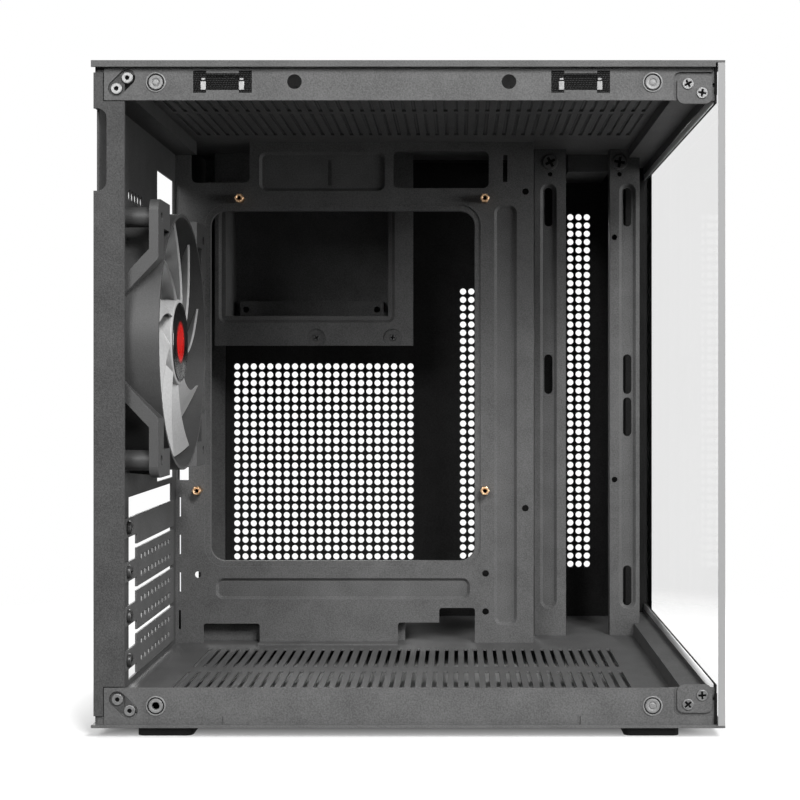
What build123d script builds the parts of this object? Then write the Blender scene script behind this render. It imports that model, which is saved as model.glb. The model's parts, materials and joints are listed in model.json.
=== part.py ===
from build123d import *
import os
from math import atan2, degrees, radians, sqrt, tan

# A compact two-chamber computer case, seen from its open side.
# X runs from the back (-) to the glass front (+), Y from the open side (-) to the right side (+),
# and Z up from the surface that the feet stand on. All sizes are in millimetres.

# Overall sizes
CASE_LENGTH = 268.0
CASE_WIDTH = 276.0
CHASSIS_HEIGHT = 282.2
FOOT_HEIGHT = 4.5
SHEET = 1.0
GLASS = 3.0
FIT = 0.3

# The places below are drawn for a case of this length, width and height, and move in proportion with it
DRAWN_CASE = (268.0, 276.0, 282.2)

# Shell
RAIL_SETBACK = 2.5
RAIL_HEIGHT = 16.5
TOP_LIP = 2.75
BASE_LIP = 1.3
PILLAR_OVERHANG = 0.5
FLOOR_RISE = 5.5
ROOF_DROP = 5.7
REAR_SETBACK = 1.0
SEAL = 1.0
PILLAR_WIDTH = 11.5
SEAM = 0.4
RAIL_REAR_END = 4.9
ROOF_DECK_MARGIN = 54.0
FLANGE = 12.0

# Finger notch in the rear pillar, below the top
NOTCH_DEPTH = 5.0
NOTCH_TOP = 19.9
NOTCH_HEIGHT = 34.9
NOTCH_CORNER = 4.0

# Fasteners and catches of the open side, from the rear wall
FRAME_SCREW_RADIUS = 2.6
FRAME_SCREW_HEAD = 0.8
FRAME_SLOT_RADIUS = 3.5
TOP_FRAME_SCREWS = ((8.1, 5.7), (12.7, 1.1))
BASE_FRAME_SCREWS = ((8.5, 6.0), (13.7, 1.2))
CATCH_X = (24.9, 235.6)
CATCH_RADIUS = 4.3
CATCH_BUSH_RADIUS = 3.0
CATCH_HOLE_RADIUS = 1.4
CATCH_PROUD = 0.5
CATCH_FROM_EDGE = 8.9
RAIL_HOLE_X = (83.7, 174.7)
RAIL_HOLE_RADIUS = 3.1
CLIP_X = (53.2, 205.1)
CLIP_LENGTH = 24.8
CLIP_HEIGHT = 9.3
CLIP_WAIST = 7.0
CLIP_END = 5.4
CONTACT_WIDTH = 2.2
TAB_X = (53.5, 205.0)
TAB_LENGTH = 10.5
TAB_HEIGHT = 3.9
TAB_PROUD = 0.6

# Front beams and their end plates
BEAM_DEPTH = 14.1
SILL_DEPTH = 11.3
BEAM_HEIGHT = 4.7
SILL_HEIGHT = 7.0
BEAM_LIP = 3.7
SILL_LIP = 1.7
PLATE_LENGTH = 15.0
PLATE_HEIGHT = 12.0
PLATE_GAP = 1.4
PLATE_CORNER = 3.0
PLATE_SCREW_RADIUS = 2.5
PLATE_SCREWS = ((4.6, 3.6), (10.6, 7.5))
PILLAR_MARGIN = 33.0

# Motherboard tray; its openings are placed from the rear wall and from the floor
MAIN_CHAMBER = 175.35
TRAY_LENGTH = 193.8
TRAY_FLANGE = 8.0
WINDOW = (19.0, 161.9, 44.4, 233.8)
WINDOW_CORNER = 8.0
WINDOW_RIM = 3.1
RIM_STEP = 0.4
RIM_LIP = 3.0
CORNER_CUT = (8.6, 40.1, 249.0)
CABLE_CUT = (117.8, 169.5, 246.1, 266.0)
BASE_CUTS = ((15.2, 45.6, 10.5), (120.4, 162.0, 11.1), (142.7, 162.0, 19.0))
CUT_CORNER = 3.0
PRESS_DEPTH = 1.5
PRESS_SLOPE = 45.0
TOP_PRESSING = (45.3, 113.4, 244.6, 265.6)
SIDE_PRESSING = (172.5, 184.7, 9.8, 236.7)
LOW_PRESSING = (21.9, 159.3, 23.7, 35.1)
PRESS_CORNER = 4.0
TIE_SLOTS = ((82.2, 84.4, 247.8, 261.3), (177.2, 179.6, 249.4, 264.0))
TRAY_HOLES = ((189.4, 244.3), (189.3, 72.9), (12.3, 37.0), (167.8, 37.6), (167.8, 17.0))
TRAY_HOLE_RADIUS = 1.8
TONGUE_WIDTH = 1.2
TONGUE_HEIGHT = 10.4
TONGUE_X = 1.8
TRAY_NOTCH = (1.2, 7.2, 88.2, 95.2)

# Board standoffs: the rear column, and the standard spacings from it
STANDOFF_HEIGHT = 6.35
STANDOFF_FLATS = 5.0
STANDOFF_BORE = 1.25
STANDOFF_BORE_DEPTH = 5.0
STANDOFF_STUD = 1.6
STUD_CLEARANCE = 0.05
BOARD_REAR = 12.4
BOARD_LOW = 82.7
BOARD_COLUMN = 154.94
BOARD_ROW = 157.48
BOARD_OFFSET = 22.86

# Rear wall; depths are measured from the tray towards the open side
FAN_MARGIN = 5.0
FAN_LEVEL = 159.5
FAN_SIZE = 120.0
FAN_THICKNESS = 25.0
FAN_HOLE_INSET = 7.5
FAN_HOLE_RADIUS = 2.2
BARREL_INSET = 2.0
GRILLE_INSET = 4.0
GRILLE_PITCH = 9.0
GRILLE_SLOT = 6.0
GRILLE_RIB = 4.0
IO_HEIGHT = 158.75
IO_WIDTH = 44.45
IO_DEPTH_START = 4.15
IO_LEVEL = 90.35
VENT_COUNT = 5
VENT_PITCH = 6.4
VENT_RADIUS = 2.9
VENT_DEPTH = 86.75
VENT_LEVEL = 227.7
SLOT_COUNT = 4
SLOT_PITCH = 20.32
SLOT_BOTTOM_LEVEL = 12.7
SLOT_OPENING = (10.35, 114.35, 2.5, 87.3)
COVER_GAP = 1.92
TOP_COVER_CUT = 4.6
COVER_END = 101.0
COVER_NECK = 9.0
COVER_TAB_END = 126.0
COVER_TAB = 11.0
COVER_VENT_ROWS = (-4.0, 4.0)
COVER_VENT_COUNT = 9
COVER_VENT = (5.5, 2.4)
COVER_VENT_PITCH = 8.4
PSU_OPENING = (13.0, 85.0, 20.0, 150.0)
PSU_HOLE_SPACING_Z = 138.0
PSU_HOLE_SPACING_Y = 64.0
PSU_HOLE_RADIUS = 2.0
CASE_SCREW_RADIUS = 1.6
CASE_HEAD_RADIUS = 3.2
CASE_HEAD = 2.0

# Fan
FAN_WALL = 1.5
FAN_FLANGE = 4.0
FAN_CORNER = 5.0
FAN_POST_RADIUS = 4.4
FAN_HUB_RADIUS = 20.0
FAN_HUB_PLATE = 3.0
FAN_STRUTS = 4
STRUT_WIDTH = 4.0
EAR_SHARE = 1.19
RIB_NEAR = 0.57
RIB_FAR = 0.2
RIB_DEPTH = 12.0
ROTOR_BLADES = 11
ROTOR_TURN = 13.0
TIP_GAP = 1.5
FAN_SCREW = 10.0
ROTOR_LENGTH = 19.0
ROTOR_WALL = 1.6
ROTOR_GAP = 1.0
BLADE_THICKNESS = 1.5
BLADE_PITCH = 24.0
BLADE_ROOT = 6.0
BLADE_LEAD = 36.0
BLADE_HOLLOW = 2.0
BLADE_BELLY = 4.0
BLADE_SETBACK = 4.0
SHAFT_RADIUS = 1.5
SHAFT_CLEARANCE = 0.05
HUB_DISC_RADIUS = 17.0
HUB_DISC = 0.5

# Side rails, with their distance from the front beams and their width
SIDE_RAIL_DEPTH = 24.65
SIDE_RAIL_FLANGE = 8.0
SIDE_RAILS = {"side_rail_inner": (66.6, 17.6), "side_rail_outer": (24.6, 16.6)}
RAIL_GROOVES = {"side_rail_inner": 7.9, "side_rail_outer": 9.9}
RAIL_SCREWS = {"side_rail_inner": 8.8, "side_rail_outer": 5.5}
RAIL_SLOTS = {"side_rail_inner": ((134.6, 156.7), (228.1, 249.8)),
              "side_rail_outer": ((16.5, 38.9), (111.1, 132.7), (134.6, 156.7), (228.1, 249.8))}
GROOVE_WIDTH = 9.2
GROOVE_LOW = 15.0
GROOVE_HIGH = 252.0
RAIL_SLOT_WIDTH = 4.7
RAIL_HOLES = {"side_rail_inner": (), "side_rail_outer": (86.9, 221.9)}
RAIL_HOLE_SIDE = 2.7
RAIL_HOLE_SIZE = 3.2
RAIL_PILOT_DROP = 6.8
RAIL_PILOT_SIZE = 2.6
RAIL_SCREW_DROP = 7.1
RAIL_HEAD_RADIUS = 4.4

# Right side panel
PANEL_HOLE = 3.8
PANEL_PITCH = 5.0
VENT_BRIDGE = 1.2
LOW_GRID = (19.0, 22, 34.0, 152.8, 4)
MIDDLE_GRID = (155.8, 7, 29.4, 198.2, 4)
FRONT_GRID = (215.8, 4, 29.4, 243.2, 5)
PANEL_FLANGE = 12.0
THUMB_RADIUS = 5.0
THUMB_LENGTH = 6.0
THUMB_SHANK = 2.0
THUMB_LEVELS = (50.0, 230.0)
THUMB_INSET = 8.0

# Drive cage and power supply support
CAGE_DEPTH = 38.65
CAGE_X = (15.0, 127.4)
CAGE_LOW = 161.9
POCKET_RIM = (17.2, 117.0, 175.0, 252.0)
POCKET = (21.0, 113.2, 178.8, 248.2)
POCKET_DEPTH = 41.0
POCKET_CORNER = 4.0
DRIVE_HOLE_SPACING = 76.6
DRIVE_HOLE_RADIUS = 1.8
CAGE_SCREWS = (72.5, 115.8)
CAGE_SCREW_RISE = 4.6
EAR_WIDTH = 10.5
EAR_HEIGHT = 9.5
EAR_DEPTH = 1.2
EAR_HEAD_RADIUS = 2.0
LEDGE_MARGIN = 4.0
LEDGE_DEPTH = 12.0
LEDGE_HEIGHT = 10.0
SUPPORT_LENGTH = 120.0
SUPPORT_LEVEL = 10.0
SUPPORT_MARGIN = 4.0

# Vents of the roof and the floor
SLIT_PITCH = 5.0
SLIT_WIDTH = 2.0
ROOF_SLIT_X = (17.0, 245.0)
ROOF_SLITS = ((26.0, 88.0), (94.0, 156.0))
FLOOR_SLIT_X = (22.0, 232.0)
FLOOR_SLITS = ((38.0, 98.0), (110.0, 160.0))
FILTER = 2.0
FILTER_RIM = 6.0

# Top strip with its controls, from the front of the roof deck
STRIP_X = (215.6, 239.4)
STRIP_START = 4.0
STRIP_DEPTH = 46.0
STRIP_BODY = 14.0
BUTTON_RADIUS = 6.0
RESET_RADIUS = 2.5
BUTTON_CLEARANCE = 0.25
BUTTON_PROUD = 0.8
BUTTON_TRAVEL = 1.5
BUTTON_LENGTH = 9.0
BUTTON_STOP = 0.3
SWITCH_SIDE = 3.0
CONTROL_Y = {"power_button": 8.0, "reset_button": 17.5, "usb_a_port_1": 24.0,
             "usb_a_port_2": 31.5, "usb_c_port": 37.5, "audio_jack": 42.5}
USB_A = (13.2, 5.6)
USB_C = (9.0, 3.2)
JACK_RADIUS = 3.0
JACK_BORE = 1.75
PORT_WALL = 0.4
PORT_DEPTH = 9.0

# Feet
FOOT_LENGTH = 23.6
FOOT_WIDTH = 40.0
FOOT_CORNER = 3.0
FOOT_X = (16.3, 223.9)
FOOT_INSET = 6.0

# How far the case has grown along X, Y and Z since it was drawn
along = CASE_LENGTH / DRAWN_CASE[0]
across = CASE_WIDTH / DRAWN_CASE[1]
upward = CHASSIS_HEIGHT / DRAWN_CASE[2]

# Radii that follow the fan's size
fan_bore = FAN_SIZE / 2 - BARREL_INSET
grille_radius = FAN_SIZE / 2 - GRILLE_INSET
rotor_radius = fan_bore - TIP_GAP

# Planes that the pieces share; the thumbscrews reach past the back, and the middle counts them
thumb_reach = THUMB_LENGTH + SHEET + FIT - REAR_SETBACK
x_back = (thumb_reach - CASE_LENGTH) / 2
x_front = x_back + CASE_LENGTH
x_wall = x_back + REAR_SETBACK + SHEET
x_glass = x_front - GLASS
x_beam = x_glass - SEAL
y_open = -CASE_WIDTH / 2
y_right = CASE_WIDTH / 2
y_rail = y_open + RAIL_SETBACK
y_deck = y_rail + SHEET
y_skin = y_right - SHEET
y_frame = y_skin - FIT
y_tray = y_rail + MAIN_CHAMBER * across
y_side_rail = y_tray + SIDE_RAIL_DEPTH * across
y_cage = y_tray + CAGE_DEPTH * across
y_pillar = y_right - PILLAR_MARGIN
y_roof_end = y_right - ROOF_DECK_MARGIN
z_base = FOOT_HEIGHT
z_top = FOOT_HEIGHT + CHASSIS_HEIGHT
z_floor = z_base + FLOOR_RISE
z_ceiling = z_top - ROOF_DROP


def block(x0, x1, y0, y1, z0, z1):
    """A box between two corners."""
    centre = Pos((x0 + x1) / 2, (y0 + y1) / 2, (z0 + z1) / 2)
    return centre * Box(x1 - x0, y1 - y0, z1 - z0)


def patch(u0, u1, v0, v1, radius=0.0):
    """A flat rectangle between two corners, rounded if it has a radius."""
    wide, high = u1 - u0, v1 - v0
    shape = RectangleRounded(wide, high, radius) if radius else Rectangle(wide, high)
    return Pos((u0 + u1) / 2, (v0 + v1) / 2) * shape


def disc(u, v, radius):
    """A flat circle."""
    return Pos(u, v) * Circle(radius)


def side_sheet(sketch, y, depth=SHEET):
    """A sketch in X and Z, made solid from y to y + depth."""
    return extrude(Plane.XZ.offset(-y) * sketch, amount=-depth)


def back_sheet(sketch, x, depth=SHEET):
    """A sketch in Y and Z, made solid from x to x + depth."""
    return extrude(Plane.YZ.offset(x) * sketch, amount=depth)


def flat_sheet(sketch, z, depth=SHEET):
    """A sketch in X and Y, made solid from z to z + depth."""
    return extrude(Plane.XY.offset(z) * sketch, amount=depth)


def on_wall(x):
    """A place measured from the rear wall."""
    return x_wall + x * along


def on_floor(z):
    """A level measured from the floor."""
    return z_floor + z * upward


def towards_open(depth):
    """A depth measured from the tray towards the open side."""
    return y_tray - depth * across


def wall_bounds(area):
    """The bounds of a rectangle placed from the rear wall and the floor, in X and Z."""
    x0, x1, z0, z1 = area
    return on_wall(x0), on_wall(x1), on_floor(z0), on_floor(z1)


def grown_patch(bounds, radius=0.0, grow=0.0):
    """A rectangle between bounds, grown on all its sides."""
    x0, x1, z0, z1 = bounds
    return patch(x0 - grow, x1 + grow, z0 - grow, z1 + grow, radius + grow if radius else 0.0)


def wall_patch(area, radius=0.0, grow=0.0):
    """A rectangle placed from the rear wall and the floor, in X and Z."""
    return grown_patch(wall_bounds(area), radius, grow)


def press(sheet, bounds, radius, y, depth=PRESS_DEPTH, slope=PRESS_SLOPE):
    """A panel pressed back into an upright sheet, with sloped sides that keep its thickness."""
    outer = SHEET * tan(radians(90 - slope) / 2)
    back = extrude(Plane.XZ.offset(-y - SHEET) * grown_patch(bounds, radius, outer), amount=-depth,
                   taper=slope)
    return sheet + back - extrude(Plane.XZ.offset(-y) * grown_patch(bounds, radius), amount=-depth,
                                  taper=slope)


def stadium(start, end, radius):
    """The outline of a slot between two centres."""
    middle = ((start[0] + end[0]) / 2, (start[1] + end[1]) / 2)
    run = Vector(end[0] - start[0], end[1] - start[1])
    turn = degrees(atan2(run.Y, run.X))
    return Pos(*middle) * Rot(0, 0, turn) * SlotCenterToCenter(run.length, 2 * radius)


def slit_rows(span, rows):
    """Rows of narrow slits along Y, spaced along X."""
    start, end = on_wall(span[0]), on_wall(span[1])
    places = [start + i * SLIT_PITCH for i in range(int((end - start) / SLIT_PITCH) + 1)]
    return [patch(x - SLIT_WIDTH / 2, x + SLIT_WIDTH / 2, y_open + y0 * across, y_open + y1 * across)
            for x in places for y0, y1 in rows]


def frame_screw_places(inward):
    """The two frame screws of a rail, in X and Z; inward is 1 at the base and -1 at the roof."""
    if inward > 0:
        return [(x_wall + x, z_floor + z) for x, z in BASE_FRAME_SCREWS]
    return [(x_wall + x, z_ceiling - z) for x, z in TOP_FRAME_SCREWS]


def plate_corner(edge, inward, reach, grow=0.0):
    """The end plate of a front beam, or the hollow around it, in X and Z."""
    x1 = x_beam - SHEET
    x0 = x1 - PLATE_LENGTH
    z0, z1 = sorted((edge, edge + inward * PLATE_HEIGHT))
    low = z0 - (grow if inward > 0 else 0)
    high = z1 + (grow if inward < 0 else 0)
    return patch(x0 - grow, x1 + (reach if grow else 0), low, high, PLATE_CORNER)


def pan(z_rim, z_deck, deck_end, inward, rows, span):
    """The pressed sheet of the roof or the base: a rim, a deck towards the inside, and slits."""
    z0, z1 = sorted((z_rim, z_deck))
    deck_x1 = x_beam
    rim = flat_sheet(patch(x_back, x_front, y_open, y_right), z_rim if inward > 0 else z_rim - SHEET)
    shell = block(x_wall, deck_x1, y_deck, deck_end, z0, z1)
    inner0, inner1 = (z0, z1 - SHEET) if inward > 0 else (z0 + SHEET, z1)
    hollow = block(x_wall + SHEET, deck_x1 - SHEET, y_deck + SHEET, deck_end - SHEET, inner0, inner1)
    slits = flat_sheet(Sketch() + slit_rows(span, rows), z_deck - SHEET if inward > 0 else z_deck)
    return rim + shell - hollow - slits


def rail(edge, inward):
    """The flange of a pan at the open side, with its screw slot, catch holes and plate hollow."""
    z0, z1 = sorted((edge + inward * SHEET, edge + inward * RAIL_HEIGHT))
    x0, x1 = x_back + RAIL_REAR_END, x_beam - SHEET
    face = patch(x0, x1, z0, z1)
    face -= plate_corner(plate_edge(edge, inward), inward, PLATE_CORNER + SHEET, PLATE_GAP)
    face -= stadium(*frame_screw_places(inward), FRAME_SLOT_RADIUS)
    return face - [disc(x, z, CATCH_BUSH_RADIUS + STUD_CLEARANCE) for x, z in catch_places(edge, inward)]


def plate_edge(edge, inward):
    """The outer edge of a beam's end plate."""
    return edge + inward * (RAIL_HEIGHT + PLATE_GAP - PLATE_HEIGHT)


def plate_tab(edge, deck, inward, depth, height):
    """The tab of a pan behind an end plate, with the plate's screw holes and room for the beam."""
    x0 = x_beam - PLATE_LENGTH - 3 * PLATE_GAP
    tab = patch(x0, x_beam, *sorted((deck, edge + inward * RAIL_HEIGHT)))
    tab -= [disc(x, z, CASE_SCREW_RADIUS + STUD_CLEARANCE)
            for x, z in plate_screws(plate_edge(edge, inward), inward)]
    tip = deck + inward * height
    near, far = sorted((tip - inward * (SHEET + FIT), tip + inward * FIT))
    tab -= patch(x_beam - depth - FIT, x_beam + FIT, near, far)
    return side_sheet(tab, y_deck)


def rim_lip(edge, inward):
    """The lip of a pan at the open side, which stops at the pane."""
    height = BASE_LIP if inward > 0 else TOP_LIP
    return block(x_back, x_beam, y_open, y_open + SHEET, *sorted((edge, edge + inward * height)))


def catch_places(edge, inward):
    """The centres of the catches of one rail."""
    return [(on_wall(x), edge + inward * CATCH_FROM_EDGE) for x in CATCH_X]


def base_pan():
    """The floor: one pressed sheet with the lower rail, its lip and the tab of the front sill."""
    body = pan(z_base, z_floor, y_frame - SHEET, 1, FLOOR_SLITS, FLOOR_SLIT_X)
    body += side_sheet(rail(z_base, 1), y_rail) + rim_lip(z_base, 1)
    body += plate_tab(z_base, z_floor, 1, SILL_DEPTH, SILL_HEIGHT)
    for x in TAB_X:
        body += block(on_wall(x), on_wall(x) + TAB_LENGTH, y_rail - TAB_PROUD, y_rail,
                      z_base + SHEET, z_base + SHEET + TAB_HEIGHT)
    return body


def clip_opening(x, grow=0.0):
    """The waisted outline of a panel clip."""
    z = z_top - CATCH_FROM_EDGE + FIT
    x0, x1 = on_wall(x) - CLIP_LENGTH / 2 - grow, on_wall(x) + CLIP_LENGTH / 2 + grow
    waist = CLIP_WAIST / 2 + grow
    full = CLIP_HEIGHT / 2 + grow
    end = CLIP_END + 2 * grow
    ends = patch(x0, x0 + end, z - full, z + full) + patch(x1 - end, x1, z - full, z + full)
    return ends + patch(x0, x1, z - waist, z + waist)


def control_place(name):
    """The centre of a control on the top strip."""
    return on_wall(sum(STRIP_X) / 2), y_roof_end + STRIP_START + CONTROL_Y[name]


def control_outline(name, grow=0.0):
    """The outline of a control, in X and Y."""
    x, y = control_place(name)
    if name in ("power_button", "reset_button"):
        return disc(x, y, (BUTTON_RADIUS if name == "power_button" else RESET_RADIUS) + grow)
    if name == "audio_jack":
        return disc(x, y, JACK_RADIUS + grow)
    length, width = USB_C if name == "usb_c_port" else USB_A
    return patch(x - length / 2 - grow, x + length / 2 + grow, y - width / 2 - grow, y + width / 2 + grow,
                 width / 4 + grow / 2)


def top_panel():
    """The roof: one pressed sheet with the upper rail, its lip, and the openings of the controls."""
    body = pan(z_top, z_ceiling, y_roof_end, -1, ROOF_SLITS, ROOF_SLIT_X)
    face = rail(z_top, -1)
    face -= [disc(on_wall(x), z_top - CATCH_FROM_EDGE + FIT, RAIL_HOLE_RADIUS) for x in RAIL_HOLE_X]
    face -= [clip_opening(x, STUD_CLEARANCE) for x in CLIP_X]
    body += side_sheet(face, y_rail) + rim_lip(z_top, -1)
    body += plate_tab(z_top, z_ceiling, -1, BEAM_DEPTH, BEAM_HEIGHT)
    holes = [control_outline(name, BUTTON_CLEARANCE) for name in CONTROL_Y]
    return body - flat_sheet(Sketch() + holes, z_top - SHEET)


def rear_panel():
    """The back: one folded sheet with the pillar of the open side and the flange of the right side."""
    wall = patch(y_deck, y_frame, z_base + SHEET, z_top - SHEET)
    fan_y, fan_z = fan_place()
    rows = int(grille_radius / GRILLE_PITCH)
    for row in range(-rows, rows + 1):
        level = row * GRILLE_PITCH
        half = sqrt(grille_radius ** 2 - level ** 2)
        if half > 2 * GRILLE_RIB:
            slot = patch(fan_y - half, fan_y + half, fan_z + level - GRILLE_SLOT / 2,
                         fan_z + level + GRILLE_SLOT / 2)
            wall -= slot - patch(fan_y - GRILLE_RIB / 2, fan_y + GRILLE_RIB / 2, *z_span(slot))
    wall -= [disc(fan_y + u, fan_z + v, FAN_HOLE_RADIUS) for u, v in corner_grid()]
    io_y = towards_open(IO_DEPTH_START)
    wall -= patch(io_y - IO_WIDTH, io_y, on_floor(IO_LEVEL), on_floor(IO_LEVEL + IO_HEIGHT))
    wall -= [disc(towards_open(VENT_DEPTH + i * VENT_PITCH), on_floor(VENT_LEVEL), VENT_RADIUS)
             for i in range(VENT_COUNT)]
    near, far, low, high = SLOT_OPENING
    wall -= patch(towards_open(far), towards_open(near), on_floor(low), on_floor(high))
    wall -= [disc(y, z, CASE_SCREW_RADIUS + STUD_CLEARANCE) for y, z in cover_screw_places()]
    near, far, low, high = PSU_OPENING
    wall -= patch(towards_open(-near), towards_open(-far), on_floor(low), on_floor(high))
    psu_y, psu_z = towards_open(-(near + far) / 2), on_floor((low + high) / 2)
    wall -= [disc(psu_y + a * PSU_HOLE_SPACING_Y / 2, psu_z + b * PSU_HOLE_SPACING_Z / 2, PSU_HOLE_RADIUS)
             for a in (-1, 1) for b in (-1, 1)]
    wall -= [disc(y_right - THUMB_INSET, on_floor(z), THUMB_SHANK + FIT) for z in THUMB_LEVELS]
    body = back_sheet(wall, x_wall - SHEET)
    outer = x_wall - SHEET - PILLAR_OVERHANG
    pillar = patch(outer, x_wall + PILLAR_WIDTH, z_base + RAIL_HEIGHT + SEAM, z_top - RAIL_HEIGHT - SEAM)
    strips = patch(outer, x_back + RAIL_REAR_END - SEAM, z_floor - SHEET, z_ceiling + SHEET)
    body += side_sheet(pillar + strips, y_rail)
    body += block(x_wall, x_wall + PILLAR_WIDTH, y_deck, y_deck + SHEET, z_floor, z_ceiling)
    body += block(x_wall - SHEET, x_wall + FLANGE, y_frame - SHEET, y_frame, z_floor, z_top - SHEET)
    shelf = z_ceiling - SILL_HEIGHT
    body += block(x_wall, x_wall + PILLAR_WIDTH, y_deck + SHEET, y_tray, shelf, shelf + SHEET)
    body += block(x_wall + PILLAR_WIDTH - SHEET, x_wall + PILLAR_WIDTH, y_deck + SHEET, y_tray,
                  shelf, z_ceiling)
    notch_top = z_top - NOTCH_TOP
    notch = patch(x_back - NOTCH_DEPTH, x_back + NOTCH_DEPTH + REAR_SETBACK, notch_top - NOTCH_HEIGHT,
                  notch_top, NOTCH_CORNER)
    return body - side_sheet(notch, y_open, RAIL_SETBACK + 4 * SHEET)


def z_span(sketch):
    """The lowest and highest level of a sketch drawn in Y and Z."""
    box = sketch.bounding_box()
    return box.min.Y, box.max.Y


def cover_levels():
    """The centre of each expansion slot, from the top one down."""
    return [on_floor(SLOT_BOTTOM_LEVEL + (SLOT_COUNT - 1 - i) * SLOT_PITCH) for i in range(SLOT_COUNT)]


def cover_screw_places():
    """The screw of each slot cover, in Y and Z."""
    y = towards_open(COVER_TAB_END - COVER_TAB / 2)
    return [(y, z) for z in cover_levels()]


def slot_cover(index):
    """A cover blade with a neck and a screw tab; the lower ones have two rows of vents."""
    z = cover_levels()[index]
    far, near = towards_open(COVER_END), towards_open(SLOT_OPENING[0])
    half = (SLOT_PITCH * upward - COVER_GAP) / 2
    top = z + half - (TOP_COVER_CUT if index == 0 else 0)
    face = patch(far, near, z - half, top)
    face += patch(towards_open(COVER_TAB_END), far, z - COVER_NECK / 2, z + COVER_NECK / 2)
    face -= disc(*cover_screw_places()[index], CASE_SCREW_RADIUS + STUD_CLEARANCE)
    if index:
        length, height = COVER_VENT
        first = (far + near) / 2 - (COVER_VENT_COUNT - 1) * COVER_VENT_PITCH / 2
        for row in COVER_VENT_ROWS:
            for i in range(COVER_VENT_COUNT):
                y = first + i * COVER_VENT_PITCH
                face -= patch(y - length / 2, y + length / 2, z + row - height / 2, z + row + height / 2)
    return back_sheet(face, x_wall)


def case_screw(y, z, x, length):
    """A screw whose head faces the inside and whose shank runs to the back."""
    head = back_sheet(disc(y, z, CASE_HEAD_RADIUS), x, CASE_HEAD)
    return head + back_sheet(disc(y, z, CASE_SCREW_RADIUS), x - length, length)


def slot_cover_screws():
    """The four screws of the slot covers."""
    return Compound(children=[case_screw(y, z, x_wall + SHEET, 2 * SHEET) for y, z in cover_screw_places()])


def motherboard_tray():
    """The wall between the chambers: one pressed sheet with its cable openings and board bosses."""
    face = patch(x_wall, x_wall + TRAY_LENGTH, z_floor, z_ceiling)
    face -= wall_patch(WINDOW, WINDOW_CORNER)
    x0, x1, low = CORNER_CUT
    face -= patch(on_wall(x0), on_wall(x1), on_floor(low), z_ceiling + CUT_CORNER, CUT_CORNER)
    face -= wall_patch(CABLE_CUT, CUT_CORNER)
    face -= [patch(on_wall(a), on_wall(b), z_floor - CUT_CORNER, on_floor(z), CUT_CORNER / 2)
             for a, b, z in BASE_CUTS]
    face -= [disc(on_wall(x), on_floor(z), TRAY_HOLE_RADIUS) for x, z in TRAY_HOLES]
    face -= [disc(x, z, STANDOFF_STUD + STUD_CLEARANCE) for x, z in standoff_places()]
    face -= [patch(on_wall(TONGUE_X), on_wall(TONGUE_X + TONGUE_WIDTH), z - TONGUE_HEIGHT / 2,
                   z + TONGUE_HEIGHT / 2) for z in cover_levels()]
    face -= wall_patch(TRAY_NOTCH)
    body = side_sheet(face, y_tray)
    for area in (TOP_PRESSING, SIDE_PRESSING, LOW_PRESSING):
        body = press(body, wall_bounds(area), PRESS_CORNER, y_tray)
    for slot in TIE_SLOTS:
        body -= side_sheet(wall_patch(slot), y_tray, PRESS_DEPTH + SHEET)
    body -= side_sheet(wall_patch(WINDOW, WINDOW_CORNER, WINDOW_RIM), y_tray, RIM_STEP)
    lip = wall_patch(WINDOW, WINDOW_CORNER, SHEET) - wall_patch(WINDOW, WINDOW_CORNER)
    body += side_sheet(lip, y_tray + SHEET, RIM_LIP)
    edge = x_wall + TRAY_LENGTH
    body += block(edge - SHEET, edge, y_tray + SHEET, y_tray + SHEET + TRAY_FLANGE, z_floor, z_ceiling)
    foot0, foot1 = on_wall(BASE_CUTS[0][1]), on_wall(BASE_CUTS[1][0])
    return body + block(foot0, foot1, y_tray - TRAY_FLANGE, y_tray, z_floor, z_floor + SHEET)


def standoff_places():
    """The four board holes of the smallest standard board, in X and Z."""
    x0, x2 = on_wall(BOARD_REAR), on_wall(BOARD_REAR + BOARD_COLUMN)
    x1 = on_wall(BOARD_REAR + BOARD_OFFSET)
    low, high = on_floor(BOARD_LOW), on_floor(BOARD_LOW + BOARD_ROW)
    return [(x0, low), (x2, low), (x1, high), (x2, high)]


def standoffs():
    """Four hexagonal standoffs with a threaded bore, each with its stud in the tray."""
    pieces = []
    across = STANDOFF_FLATS / sqrt(3)
    for x, z in standoff_places():
        body = side_sheet(Pos(x, z) * RegularPolygon(across, 6), y_tray - STANDOFF_HEIGHT, STANDOFF_HEIGHT)
        body += side_sheet(disc(x, z, STANDOFF_STUD), y_tray, SHEET + PRESS_DEPTH)
        bore = side_sheet(disc(x, z, STANDOFF_BORE), y_tray - STANDOFF_HEIGHT, STANDOFF_BORE_DEPTH)
        pieces.append(body - bore)
    return Compound(children=pieces)


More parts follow.
